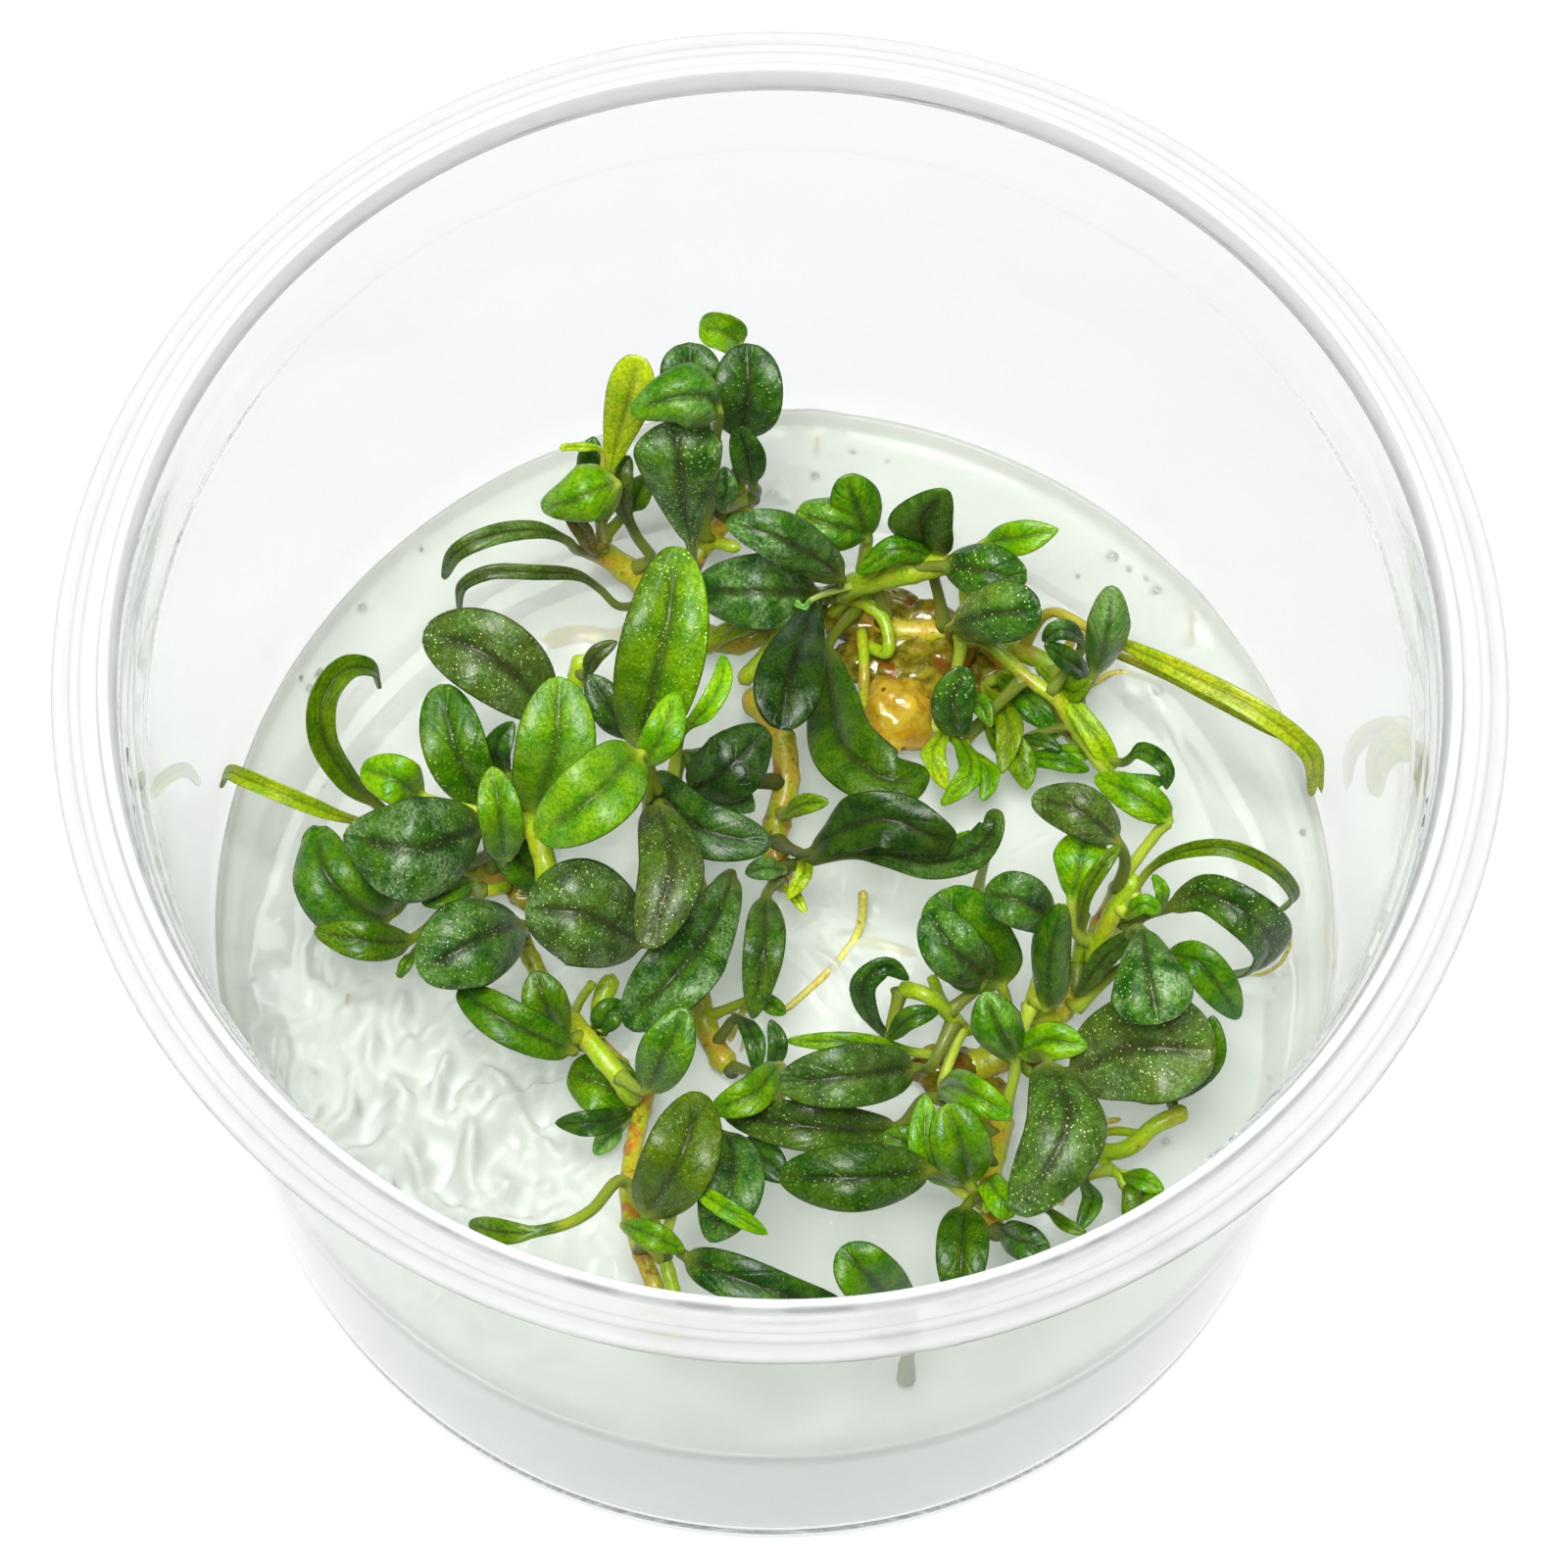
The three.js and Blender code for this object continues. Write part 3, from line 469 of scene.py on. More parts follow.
        blade=[(660, 1241, 38.5), (694, 1182, 44.5), (715, 1114, 44)]),
    "umber_leaf": dict(
        stem="lower_right_stem", at=0.01, tone="dark", width=3.9, blunt=0.48, fold=-12, warm=0.6,
        silver=0.6, speck=0.3, shade=0.14,
        stalk=[(1148, 878, 41.5)],
        blade=[(1139, 858, 44), (1103, 828, 47), (1052, 814, 45.5)]),
    "lime_leaf": dict(
        stem="lower_right_stem", at=0.24, tone="bright", width=4.2, widest=0.64, blunt=0.46, fold=-10,
        speck=0.3, shade=0.17,
        stalk=[(1100, 955, 36)],
        blade=[(1094, 920, 40), (1102, 884, 43), (1108, 849, 43)]),
    "arching_strap_leaf": dict(
        stem="lower_right_stem", at=0.07, tone="mid", width=1.3, blunt=0.4, fold=14, curl=0.3, warm=0.35,
        shade=-0.19,
        blade=[(1168, 893, 39.5), (1201, 871, 43), (1250, 865, 45), (1295, 884, 43.5), (1319, 915, 39),
               (1304, 931, 36)]),
    "folding_dark_leaf": dict(
        stem="lower_right_stem", at=0.15, tone="dark", width=3.8, blunt=0.5, fold=12, warm=0.15, speck=1,
        shade=0.09,
        stalk=[(1166, 935, 36)],
        blade=[(1190, 927, 37.5), (1232, 912, 41.5), (1272, 932, 42), (1296, 960, 38.5),
               (1278, 988, 34.5), (1250, 994, 32.5)]),
    "round_bowl_leaf": dict(
        stem="lower_right_stem", at=0.66, tone="mid", width=6.2, blunt=0.42, fold=14, curl=0.2, speck=0.5,
        shade=-0.16,
        blade=[(1022, 1006, 33.5), (988, 958, 38.5), (960, 908, 39)]),
    "grey_leaf": dict(
        stem="lower_right_stem", at=0.32, tone="dark", width=6, widest=0.7, blunt=0.46, fold=-12,
        bulge=0.2, silver=1, speck=0.7, shade=0.19,
        stalk=[(1142, 965, 37)],
        blade=[(1163, 948, 41.5), (1172, 995, 46.5), (1182, 1045, 46)]),
    "red_rib_leaf": dict(
        stem="lower_right_stem", at=0.46, tone="mid", width=3.1, fold=12, shade=-0.04,
        stalk=[(1138, 992, 33)],
        blade=[(1184, 978, 37.5), (1220, 980, 41), (1246, 1010, 39.5), (1264, 1040, 36.5)]),
    "big_dark_leaf": dict(
        stem="lower_right_stem", at=0.6, tone="dark", width=8.2, widest=0.6, blunt=0.45, fold=10,
        wave=0.1, warm=0.5, silver=0.45, speck=1, shade=0.24,
        stalk=[(1070, 1086, 30)],
        blade=[(1092, 1094, 34), (1160, 1070, 40.5), (1241, 1072, 41)]),
    "big_upright_leaf": dict(
        stem="lower_right_stem", at=0.7, tone="dark", width=5.9, blunt=0.48, fold=-12, warm=0.3,
        silver=0.3, speck=1, shade=0.11,
        stalk=[(1046, 1076, 33)],
        blade=[(1070, 1085, 40.5), (1088, 1153, 45.5), (1037, 1240, 43)]),
    "front_oval_leaf": dict(
        stem="front_right_stem", at=0.6, tone="mid", width=4.9, blunt=0.48, fold=-10, bulge=0.14,
        silver=0.35, speck=1, shade=-0.72,
        stalk=[(975, 1200, 37.5)],
        blade=[(948, 1194, 40.5), (872, 1202, 43.5), (794, 1200, 42)]),
    "front_dark_leaf": dict(
        stem="front_right_stem", at=0.8, tone="mid", width=3.8, blunt=0.5, fold=12, speck=0.6,
        shade=-0.56,
        blade=[(986, 1232, 38), (982, 1275, 43), (978, 1330, 42)]),
}

# Smaller leaves and those that show only in part. Each starts on the nearest stem or in the gel.
SMALL_LEAVES = {
    # Round the back plantlet
    "top_back": dict(
        tone="dark", width=4.6, widest=0.6, blunt=0.45, fold=14, silver=0.6, speck=0.3, shade=0.09,
        stalk=[(722, 440, 43)],
        blade=[(714, 424, 45), (705, 388, 49), (703, 349, 50.5)]),
    "top_curled": dict(
        tone="bright", width=4.6, widest=0.28, blunt=0.5, fold=-14, curl=-0.3, speck=0.3,
        stalk=[(622, 520, 38)],
        blade=[(628, 494, 43), (602, 503, 45), (577, 513, 44), (552, 518, 41.5)]),
    "top_brown": dict(
        tone="young", width=1.5, warm=1, shade=-0.74,
        blade=[(606, 562, 34), (594, 541, 38), (576, 522, 41)]),
    "top_spike": dict(
        tone="young", width=0.7, blunt=0.5,
        blade=[(614, 460, 44), (595, 456, 45), (570, 457, 44)]),
    "top_hidden": dict(
        tone="dark", width=2, shade=0.01,
        blade=[(600, 495, 38), (602, 470, 41), (606, 445, 42)]),
    "top_olive": dict(
        tone="dark", width=2.2, widest=0.6, fold=24, warm=0.6, shade=0.16,
        stalk=[(664, 570, 31)],
        blade=[(650, 548, 34), (634, 510, 39), (632, 482, 41.5), (643, 465, 42)]),
    "top_under": dict(
        tone="mid", width=2.2, fold=12, shade=-0.14,
        blade=[(640, 522, 35), (650, 505, 37), (660, 484, 38)]),
    "top_side": dict(
        tone="dark", width=2.7, fold=12, silver=0.3, speck=0.4, shade=-0.16,
        stalk=[(772, 502, 37)],
        blade=[(768, 494, 39), (763, 465, 43), (752, 432, 46)]),
    "top_grey": dict(
        tone="dark", width=1.9, silver=0.7, shade=0.26,
        blade=[(738, 518, 38), (741, 498, 41), (739, 476, 42)]),
    # Round the middle
    "shaded_wide": dict(
        tone="dark", width=5.9, blunt=0.45, fold=-14, silver=0.9, speck=0.2, shade=0.19,
        stalk=[(843, 612, 31)],
        blade=[(832, 606, 34), (778, 604, 38), (708, 602, 36)]),
    "white_curl": dict(
        tone="pale", width=0.6, silver=0.6, shade=0.5,
        blade=[(828, 612, 36), (820, 620, 36.4), (811, 614, 36)]),
    "mid_dark_speckled": dict(
        tone="dark", width=3, silver=0.3, speck=1, shade=-0.16,
        blade=[(646, 756, 33), (622, 722, 37), (600, 688, 38)]),
    "mid_olive": dict(
        tone="dark", width=1.4, warm=0.7, shade=-0.14,
        blade=[(598, 690, 35), (608, 668, 37.5), (630, 654, 38)]),
    "slanted_dark": dict(
        tone="dark", width=4.3, blunt=0.45, silver=0.3, speck=0.3, shade=-0.31,
        blade=[(664, 796, 36), (715, 845, 40), (787, 862, 40)]),
    "slanted_fold": dict(
        tone="dark", width=3, wave=0.2, silver=0.5, shade=0.24,
        blade=[(700, 770, 36), (735, 800, 38), (770, 828, 37)]),
    "tip_curl": dict(
        tone="mid", width=1.2, curl=0.5, shade=0.1,
        blade=[(1005, 852, 38), (980, 858, 39), (958, 866, 38)]),
    "mid_stub": dict(
        tone="mid", width=1.6, warm=0.6, shade=0.06,
        blade=[(800, 832, 31), (822, 820, 34), (846, 818, 35)]),
    "mid_round_bit": dict(
        tone="pale", width=1.8, wave=0.2, shade=0.15,
        blade=[(798, 888, 29), (780, 886, 31.5), (760, 891, 31.5)]),
    "mid_yellow_bits": dict(
        tone="young", width=1.3,
        blade=[(815, 868, 30), (820, 892, 32), (803, 918, 31)]),
    "mid_yellow_bit": dict(
        tone="young", width=1,
        blade=[(800, 905, 27.5), (812, 915, 29), (822, 932, 29)]),
    "low_bit": dict(
        tone="mid", width=1.4, shade=0.16,
        blade=[(775, 1018, 29), (788, 1026, 31), (802, 1034, 30)]),
    "narrow_long": dict(
        tone="mid", width=1.6, fold=12, warm=0.2, shade=0.21,
        stalk=[(960, 1078, 28.5)],
        blade=[(935, 1074, 30), (870, 1064, 33), (800, 1062, 32)]),
    # Upper right plantlet
    "upper_back": dict(
        tone="mid", width=3.9, blunt=0.5, fold=-10, shade=0.04,
        stalk=[(882, 562, 34)],
        blade=[(884, 548, 38), (874, 515, 42), (862, 484, 44)]),
    "upper_flat": dict(
        tone="mid", width=2.2, fold=-18, speck=0.4, shade=0.11,
        blade=[(950, 567, 36), (915, 560, 39), (874, 586, 37)]),
    "upper_yellow_edge": dict(
        tone="young", width=1.4, shade=0.02,
        blade=[(884, 560, 35), (893, 572, 36), (878, 596, 34)]),
    "second_strap": dict(
        tone="young", width=1.3, warm=0.35, shade=-0.04,
        stalk=[(1098, 650, 30)],
        blade=[(1140, 668, 34), (1215, 700, 36), (1290, 738, 37), (1340, 765, 35), (1349, 812, 31)]),
    "dark_arc": dict(
        tone="dark", width=1.8, fold=20, shade=-0.05,
        blade=[(1108, 690, 32), (1088, 672, 37), (1066, 656, 38.5)]),
    "dark_arc_front": dict(
        tone="dark", width=1.6, fold=20, silver=0.3, shade=0.16,
        blade=[(1104, 660, 36), (1082, 642, 40), (1064, 654, 38)]),
    "arc_edge": dict(
        tone="mid", width=1.6, warm=0.3, shade=0.16,
        blade=[(1074, 692, 31), (1098, 706, 33.5), (1114, 694, 35)]),
    "sunk_light": dict(
        tone="pale", width=3.3, speck=0.3, shade=0.39,
        blade=[(1000, 665, 25.8), (1050, 712, 26.2), (1100, 748, 25.6)]),
    "right_speckled": dict(
        tone="dark", width=3.3, blunt=0.45, speck=1, shade=0.11,
        blade=[(984, 748, 29), (972, 715, 34), (986, 680, 36)]),
    "right_light_bit": dict(
        tone="mid", width=1.7, speck=0.5, shade=-0.06,
        blade=[(972, 726, 30), (1000, 718, 33), (1012, 742, 33)]),
    "right_ragged": dict(
        tone="bright", width=2, wave=0.4, shade=-0.03,
        blade=[(968, 750, 27), (990, 790, 30), (960, 822, 29)]),
    "right_ragged_side": dict(
        tone="bright", width=1.7, wave=0.4, shade=-0.04,
        blade=[(985, 760, 27), (1010, 790, 29.5), (1002, 818, 29)]),
    "right_yellow_mass": dict(
        tone="bright", width=2.2, wave=0.3, warm=0.5, shade=-0.19,
        blade=[(1005, 700, 28), (1030, 740, 30), (1022, 790, 29)]),
    "right_strap": dict(
        tone="bright", width=1.9, widest=0.7, blunt=0.35, warm=0.35, shade=0.25,
        blade=[(1062, 682, 30), (1092, 716, 32.5), (1118, 752, 32), (1137, 786, 30)]),
    "right_ragged_low": dict(
        tone="bright", width=2.4, wave=0.4, warm=0.2, speck=0.4, shade=-0.19,
        blade=[(1010, 742, 27), (1040, 772, 29), (1048, 806, 28)]),
    "right_inner": dict(
        tone="mid", width=2.2, wave=0.3, speck=0.4, shade=0.06,
        blade=[(1020, 690, 28), (1052, 716, 30), (1078, 752, 29)]),
    "right_ragged_left": dict(
        tone="young", width=1.9, wave=0.45, shade=-0.09,
        blade=[(962, 742, 27), (952, 770, 29.5), (966, 806, 28.5)]),
    "right_sliver": dict(
        tone="bright", width=1.3, wave=0.2, shade=0.11,
        blade=[(1070, 760, 27), (1100, 768, 29), (1128, 762, 28)]),
    "right_flat": dict(
        tone="mid", width=1.6, shade=0.11,
        blade=[(1045, 770, 27.5), (1080, 776, 30), (1112, 786, 29)]),
    "right_dark_bit": dict(
        tone="dark", width=1.1,
        blade=[(1048, 752, 29), (1066, 756, 31), (1084, 766, 31)]),
    "right_curled": dict(
        tone="dark", width=1.5, curl=0.4, shade=0.16,
        blade=[(1142, 778, 31), (1166, 767, 34), (1190, 782, 35), (1190, 806, 33)]),
    "right_bright": dict(
        tone="bright", width=2.9, shade=-0.04,
        stalk=[(1148, 893, 38.5), (1182, 848, 41)],
        blade=[(1192, 838, 42), (1162, 814, 43.5), (1116, 792, 42)]),
    "right_green_bit": dict(
        tone="mid", width=1.6, shade=0.02,
        blade=[(1130, 790, 31), (1160, 800, 33), (1190, 796, 33)]),
    # Lower right plantlet
    "lime_side": dict(
        tone="mid", width=1.25, blunt=0.45, fold=22, warm=0.4, shade=-0.1,
        blade=[(1103, 944, 38), (1110, 908, 43), (1128, 880, 45), (1143, 862, 45)]),
    "bowl_front": dict(
        tone="dark", width=4.4, blunt=0.45, bulge=0.2, silver=0.5, speck=0.6, shade=0.23,
        blade=[(1002, 1002, 35), (972, 968, 42), (946, 930, 42)]),
    "rod_leaf": dict(
        tone="mid", width=3, widest=0.4, blunt=0.5, fold=-30, curl=-0.45, speck=0.5, shade=-0.16,
        blade=[(1068, 1028, 33), (1071, 974, 40), (1084, 922, 45)]),
    "grey_side": dict(
        tone="dark", width=4.1, blunt=0.45, bulge=0.2, silver=0.5, speck=0.5, shade=0.19,
        blade=[(1070, 942, 40), (1038, 918, 45), (1004, 914, 43.5)]),
    "bright_curl": dict(
        tone="bright", width=1.1, wave=0.4,
        blade=[(1176, 932, 38), (1186, 908, 42), (1176, 892, 42)]),
    "bright_curl_low": dict(
        tone="bright", width=1.5, wave=0.4, shade=0.16,
        blade=[(1150, 934, 38), (1168, 922, 41), (1184, 930, 40)]),
    "ring_leaf": dict(
        tone="dark", width=2, speck=0.4, shade=-0.1,
        blade=[(908, 1054, 31), (886, 1032, 35), (882, 1002, 38), (904, 986, 39), (928, 1000, 37.5)]),
    "ring_side": dict(
        tone="mid", width=1.7, shade=-0.36,
        blade=[(908, 1056, 32), (930, 1038, 36), (958, 1032, 36)]),
    "round_convex": dict(
        tone="mid", width=3.8, curl=-0.4, bulge=0.25, silver=0.4, shade=0.09,
        blade=[(1036, 1086, 33), (1018, 1048, 38.5), (1004, 1012, 40)]),
    "bright_ribbed": dict(
        tone="bright", width=2.9, bulge=0.2, shade=0.06,
        blade=[(1040, 1072, 34), (1072, 1062, 37.5), (1110, 1068, 38)]),
    "inner_dark": dict(
        tone="dark", width=1.8, warm=0.3, shade=0.06,
        blade=[(1100, 1010, 32), (1128, 976, 37), (1162, 948, 40)]),
    "side_lobe": dict(
        tone="mid", width=2.4, shade=-0.21,
        blade=[(1196, 1124, 31), (1234, 1078, 36), (1238, 1036, 38)]),
    "bright_round": dict(
        tone="bright", width=2.8, blunt=0.45, bulge=0.2, shade=0.04,
        blade=[(962, 1104, 30), (974, 1108, 37), (1000, 1120, 41.5), (1032, 1140, 41)]),
    "bright_low": dict(
        tone="bright", width=4.4, blunt=0.45, bulge=0.2, shade=-0.28,
        blade=[(990, 1208, 36), (980, 1168, 42), (966, 1126, 43.5)]),
    "low_yellow": dict(
        tone="bright", width=2.6,
        blade=[(975, 1212, 35), (945, 1172, 40), (944, 1116, 41)]),
    "low_side": dict(
        tone="mid", width=2.6, shade=-0.3,
        blade=[(945, 1178, 33), (925, 1166, 36), (900, 1158, 36)]),
    "wide_dark": dict(
        tone="dark", width=4.6, blunt=0.45, warm=0.3, silver=0.3, speck=0.6, shade=0.04,
        stalk=[(950, 1088, 32)],
        blade=[(932, 1090, 37), (868, 1098, 43), (794, 1106, 42)]),
    "long_dark": dict(
        tone="dark", width=3.7, blunt=0.5, warm=0.35, speck=0.6,
        stalk=[(950, 1120, 32)],
        blade=[(915, 1150, 35), (830, 1150, 39.5), (738, 1136, 37)]),
    "petal_green": dict(
        tone="bright", width=2.4, blunt=0.45, wave=0.35, shade=0.16,
        blade=[(1008, 1206, 34), (1022, 1224, 38), (1034, 1242, 37)]),
    "petal_back": dict(
        tone="young", width=1.2, wave=0.2,
        blade=[(1005, 1208, 34), (1012, 1222, 36), (1004, 1238, 35)]),
    "grey_low": dict(
        tone="dark", width=2.7, silver=0.6, shade=-0.06,
        blade=[(1022, 1254, 34), (1046, 1268, 38), (1072, 1276, 38)]),
    "green_low": dict(
        tone="mid", width=1.6, shade=0.06,
        blade=[(1108, 1202, 30), (1114, 1228, 34), (1100, 1256, 34)]),
    "green_low_side": dict(
        tone="mid", width=1, warm=0.2,
        blade=[(1062, 1232, 32), (1088, 1250, 35), (1110, 1260, 35)]),
    "right_small": dict(
        tone="bright", width=1.7, wave=0.2, shade=0.06,
        blade=[(1148, 1200, 29.5), (1166, 1204, 32), (1188, 1216, 32)]),
    "dark_low": dict(
        tone="mid", width=3, warm=0.2, shade=-0.16,
        blade=[(1155, 1208, 29), (1165, 1222, 31.5), (1150, 1250, 31)]),
    "front_low": dict(
        tone="mid", width=4.4, blunt=0.5, fold=16, shade=-0.11,
        blade=[(926, 1350, 34), (902, 1320, 40), (876, 1292, 43.5), (858, 1272, 44)]),
    "front_long": dict(
        tone="dark", width=3.4, widest=0.4, speck=0.3, shade=-0.26,
        stalk=[(676, 1262, 38)],
        blade=[(700, 1282, 42), (745, 1302, 43.5), (800, 1320, 43), (862, 1330, 40)]),
    # Front and middle bottom
    "front_mid": dict(
        tone="mid", width=4, silver=0.2, speck=0.6, shade=-0.01,
        blade=[(658, 1112, 35), (680, 1072, 41), (700, 1028, 43)]),
    "inner_small_dark": dict(
        tone="dark", width=1.6, shade=-0.1,
        blade=[(750, 1040, 29), (770, 1062, 32), (772, 1096, 31)]),
    "inner_bluish": dict(
        tone="dark", width=1.5, silver=0.8, shade=-0.16,
        blade=[(782, 1094, 31), (794, 1066, 34), (786, 1040, 34)]),
    "front_bright": dict(
        tone="bright", width=2.8, shade=-0.26,
        blade=[(795, 1088, 37), (766, 1118, 41), (724, 1134, 40)]),
    "front_bluish": dict(
        tone="dark", width=4.8, silver=0.6, speck=0.3, shade=0.11,
        blade=[(736, 1158, 37), (746, 1210, 40), (724, 1268, 38)]),
    "front_rolled": dict(
        tone="bright", width=1.5, fold=26, wave=0.15,
        blade=[(702, 1214, 41), (744, 1236, 43.5), (784, 1260, 42)]),
    "front_under": dict(
        tone="dark", width=2.7, shade=-0.04,
        blade=[(756, 1166, 34), (780, 1182, 36), (802, 1206, 36)]),
    "front_petal": dict(
        tone="bright", width=2, shade=-0.21,
        blade=[(638, 1250, 42), (668, 1262, 44.5), (698, 1276, 43)]),
    "front_arch": dict(
        tone="mid", width=1.9, widest=0.65, warm=0.3, shade=-0.08,
        stalk=[(636, 1205, 37), (602, 1236, 42)],
        blade=[(575, 1250, 43.5), (535, 1258, 44), (505, 1256, 43), (478, 1248, 41)]),
    "sunk_speckled": dict(
        tone="bright", width=4.6, blunt=0.45, wave=0.15, speck=1, shade=-0.15,
        blade=[(648, 1122, 27), (614, 1106, 28), (580, 1094, 27)]),
    "wavy_small": dict(
        tone="dark", width=2, wave=0.35, shade=-0.26,
        blade=[(642, 1134, 29), (605, 1146, 32), (566, 1146, 31)]),
    "sunk_light_small": dict(
        tone="pale", width=1.7, shade=0.36,
        blade=[(635, 1148, 26), (620, 1162, 26.5), (606, 1178, 25.8)]),
    "green_corner": dict(
        tone="mid", width=3.4, warm=0.2, speck=0.4, shade=-0.2,
        blade=[(575, 1062, 33), (556, 1022, 38), (545, 990, 39)]),
    "stub_leaf": dict(
        tone="mid", width=2.4, shade=-0.2,
        blade=[(612, 1052, 28.5), (620, 1036, 30), (636, 1022, 30)]),
    # Left plantlet
    "left_pair": dict(
        tone="bright", width=3, shade=0.18,
        stalk=[(660, 800, 40)],
        blade=[(656, 782, 43), (677, 748, 47), (690, 706, 47)]),
    "left_yellow": dict(
        tone="bright", width=1.7, blunt=0.5, fold=24, shade=0.24,
        stalk=[(692, 758, 38)],
        blade=[(698, 744, 42), (722, 722, 45.5), (736, 696, 46), (738, 668, 45)]),
    "left_bright_round": dict(
        tone="bright", width=3.7, blunt=0.45, speck=0.2, shade=0.05,
        blade=[(432, 814, 37), (405, 796, 41), (368, 784, 40)]),
    "left_bright_upright": dict(
        tone="bright", width=3.3, fold=22, speck=0.5, shade=-0.1,
        blade=[(518, 874, 37), (510, 828, 43), (502, 782, 44)]),
    "left_under": dict(
        tone="mid", width=3.4, shade=-0.2,
        blade=[(562, 905, 30), (532, 880, 34), (505, 850, 35)]),
    "left_striped": dict(
        tone="mid", width=3, warm=0.2, speck=0.5, shade=-0.36,
        blade=[(422, 957, 33), (375, 960, 37), (320, 950, 36.5)]),
    "left_spike": dict(
        tone="mid", width=1, warm=0.2,
        blade=[(424, 970, 31), (414, 984, 33), (406, 998, 32)]),
    "left_green": dict(
        tone="mid", width=2.1, shade=0.16,
        blade=[(482, 900, 33), (455, 912, 36), (430, 922, 36)]),
    "left_small_dark": dict(
        tone="dark", width=2.2, curl=0.4, shade=-0.04,
        blade=[(518, 790, 35), (507, 762, 38), (524, 736, 39)]),
    "left_back_edge": dict(
        tone="dark", width=1.6, shade=0.16,
        blade=[(322, 880, 34), (318, 860, 36), (322, 842, 37)]),
}

# Side stems and bare leaf stalks: radius in mm, and the points of each.
SIDE_STEMS = {
    "back_stub": dict(radius=0.5, points=[(706, 560, 30), (730, 554, 31.5), (756, 560, 32)]),
    "top_stalk": dict(radius=0.38, points=[(596, 556, 32), (594, 530, 37), (600, 505, 41)]),
    "top_stalk_side": dict(radius=0.36, points=[(618, 562, 32), (614, 535, 37), (610, 500, 41)]),
    "thick_stalk": dict(
        radius=0.98, points=[(852, 606, 30), (880, 594, 33), (925, 584, 35), (972, 572, 36.5)]),
    "loop": dict(
        radius=0.5,
        points=[(845, 628, 27), (870, 613, 29), (900, 630, 29.5), (906, 665, 28.5), (876, 655, 27)]),
    "drop_stalk": dict(radius=0.42, points=[(879, 640, 28), (882, 685, 29), (880, 724, 27.5)]),
    "bow": dict(radius=0.75, points=[(712, 664, 27), (745, 643, 28.5), (800, 626, 28.5)]),
    "bow_low": dict(radius=0.65, points=[(755, 698, 27.5), (782, 668, 29), (806, 640, 28.5)]),
    "brown_stub": dict(radius=0.7, points=[(582, 742, 29), (587, 700, 33), (594, 668, 35)]),
    "cut_stalk": dict(
        radius=0.85, points=[(559, 907, 39.5), (556, 880, 41), (546, 848, 40.5), (532, 838, 37)]),
    "pale_stem": dict(
        radius=0.8, points=[(576, 1034, 31), (604, 1066, 32), (632, 1100, 31.5), (650, 1126, 29.5)]),
    "peach_stalk": dict(radius=0.5, points=[(474, 908, 29), (496, 909, 29.5), (520, 904, 27.5)]),
    "red_stub": dict(radius=0.75, points=[(626, 994, 30), (614, 1022, 29.5), (612, 1050, 28)]),
    "dark_stalk": dict(radius=0.34, points=[(585, 1036, 28.5), (594, 1018, 31), (606, 1002, 33)]),
    "pale_stalk": dict(radius=0.6, points=[(918, 1008, 34), (946, 1016, 35), (982, 1048, 31)]),
    "inner_stalk": dict(radius=0.42, points=[(950, 995, 34), (964, 1026, 31), (992, 1056, 28.5)]),
    "left_rise": dict(radius=0.55, points=[(1042, 1052, 29), (1060, 1000, 34), (1072, 955, 38)]),
    "rise_stalk": dict(radius=0.4, points=[(1098, 985, 32), (1104, 945, 36), (1108, 908, 39)]),
    "sheath": dict(radius=0.7, points=[(1112, 985, 32), (1134, 935, 36.5), (1160, 893, 39)]),
    "brown_strip": dict(
        radius=0.55,
        points=[(972, 648, 33), (1008, 656, 34), (1046, 690, 33), (1078, 714, 32.5), (1098, 748, 30)]),
    "olive_branch": dict(radius=0.75, points=[(1000, 652, 28.5), (1055, 670, 30), (1108, 694, 30)]),
    "right_stalk": dict(
        radius=0.65, points=[(1108, 1176, 27), (1150, 1172, 30), (1180, 1148, 32), (1212, 1134, 32)]),
    "right_stalk_thin": dict(radius=0.35, points=[(1110, 1160, 27), (1140, 1154, 29), (1166, 1158, 30)]),
    "right_stalk_red": dict(radius=0.36, points=[(1112, 1176, 27), (1142, 1200, 29.5), (1160, 1232, 29)]),
    "second_front": dict(
        radius=0.5, points=[(664, 1238, 34), (676, 1278, 35.5), (688, 1318, 35), (696, 1348, 33.5)]),
    "low_right_stalk": dict(radius=0.4, points=[(1038, 1085, 28), (1085, 1120, 27.5), (1118, 1172, 27)]),
}

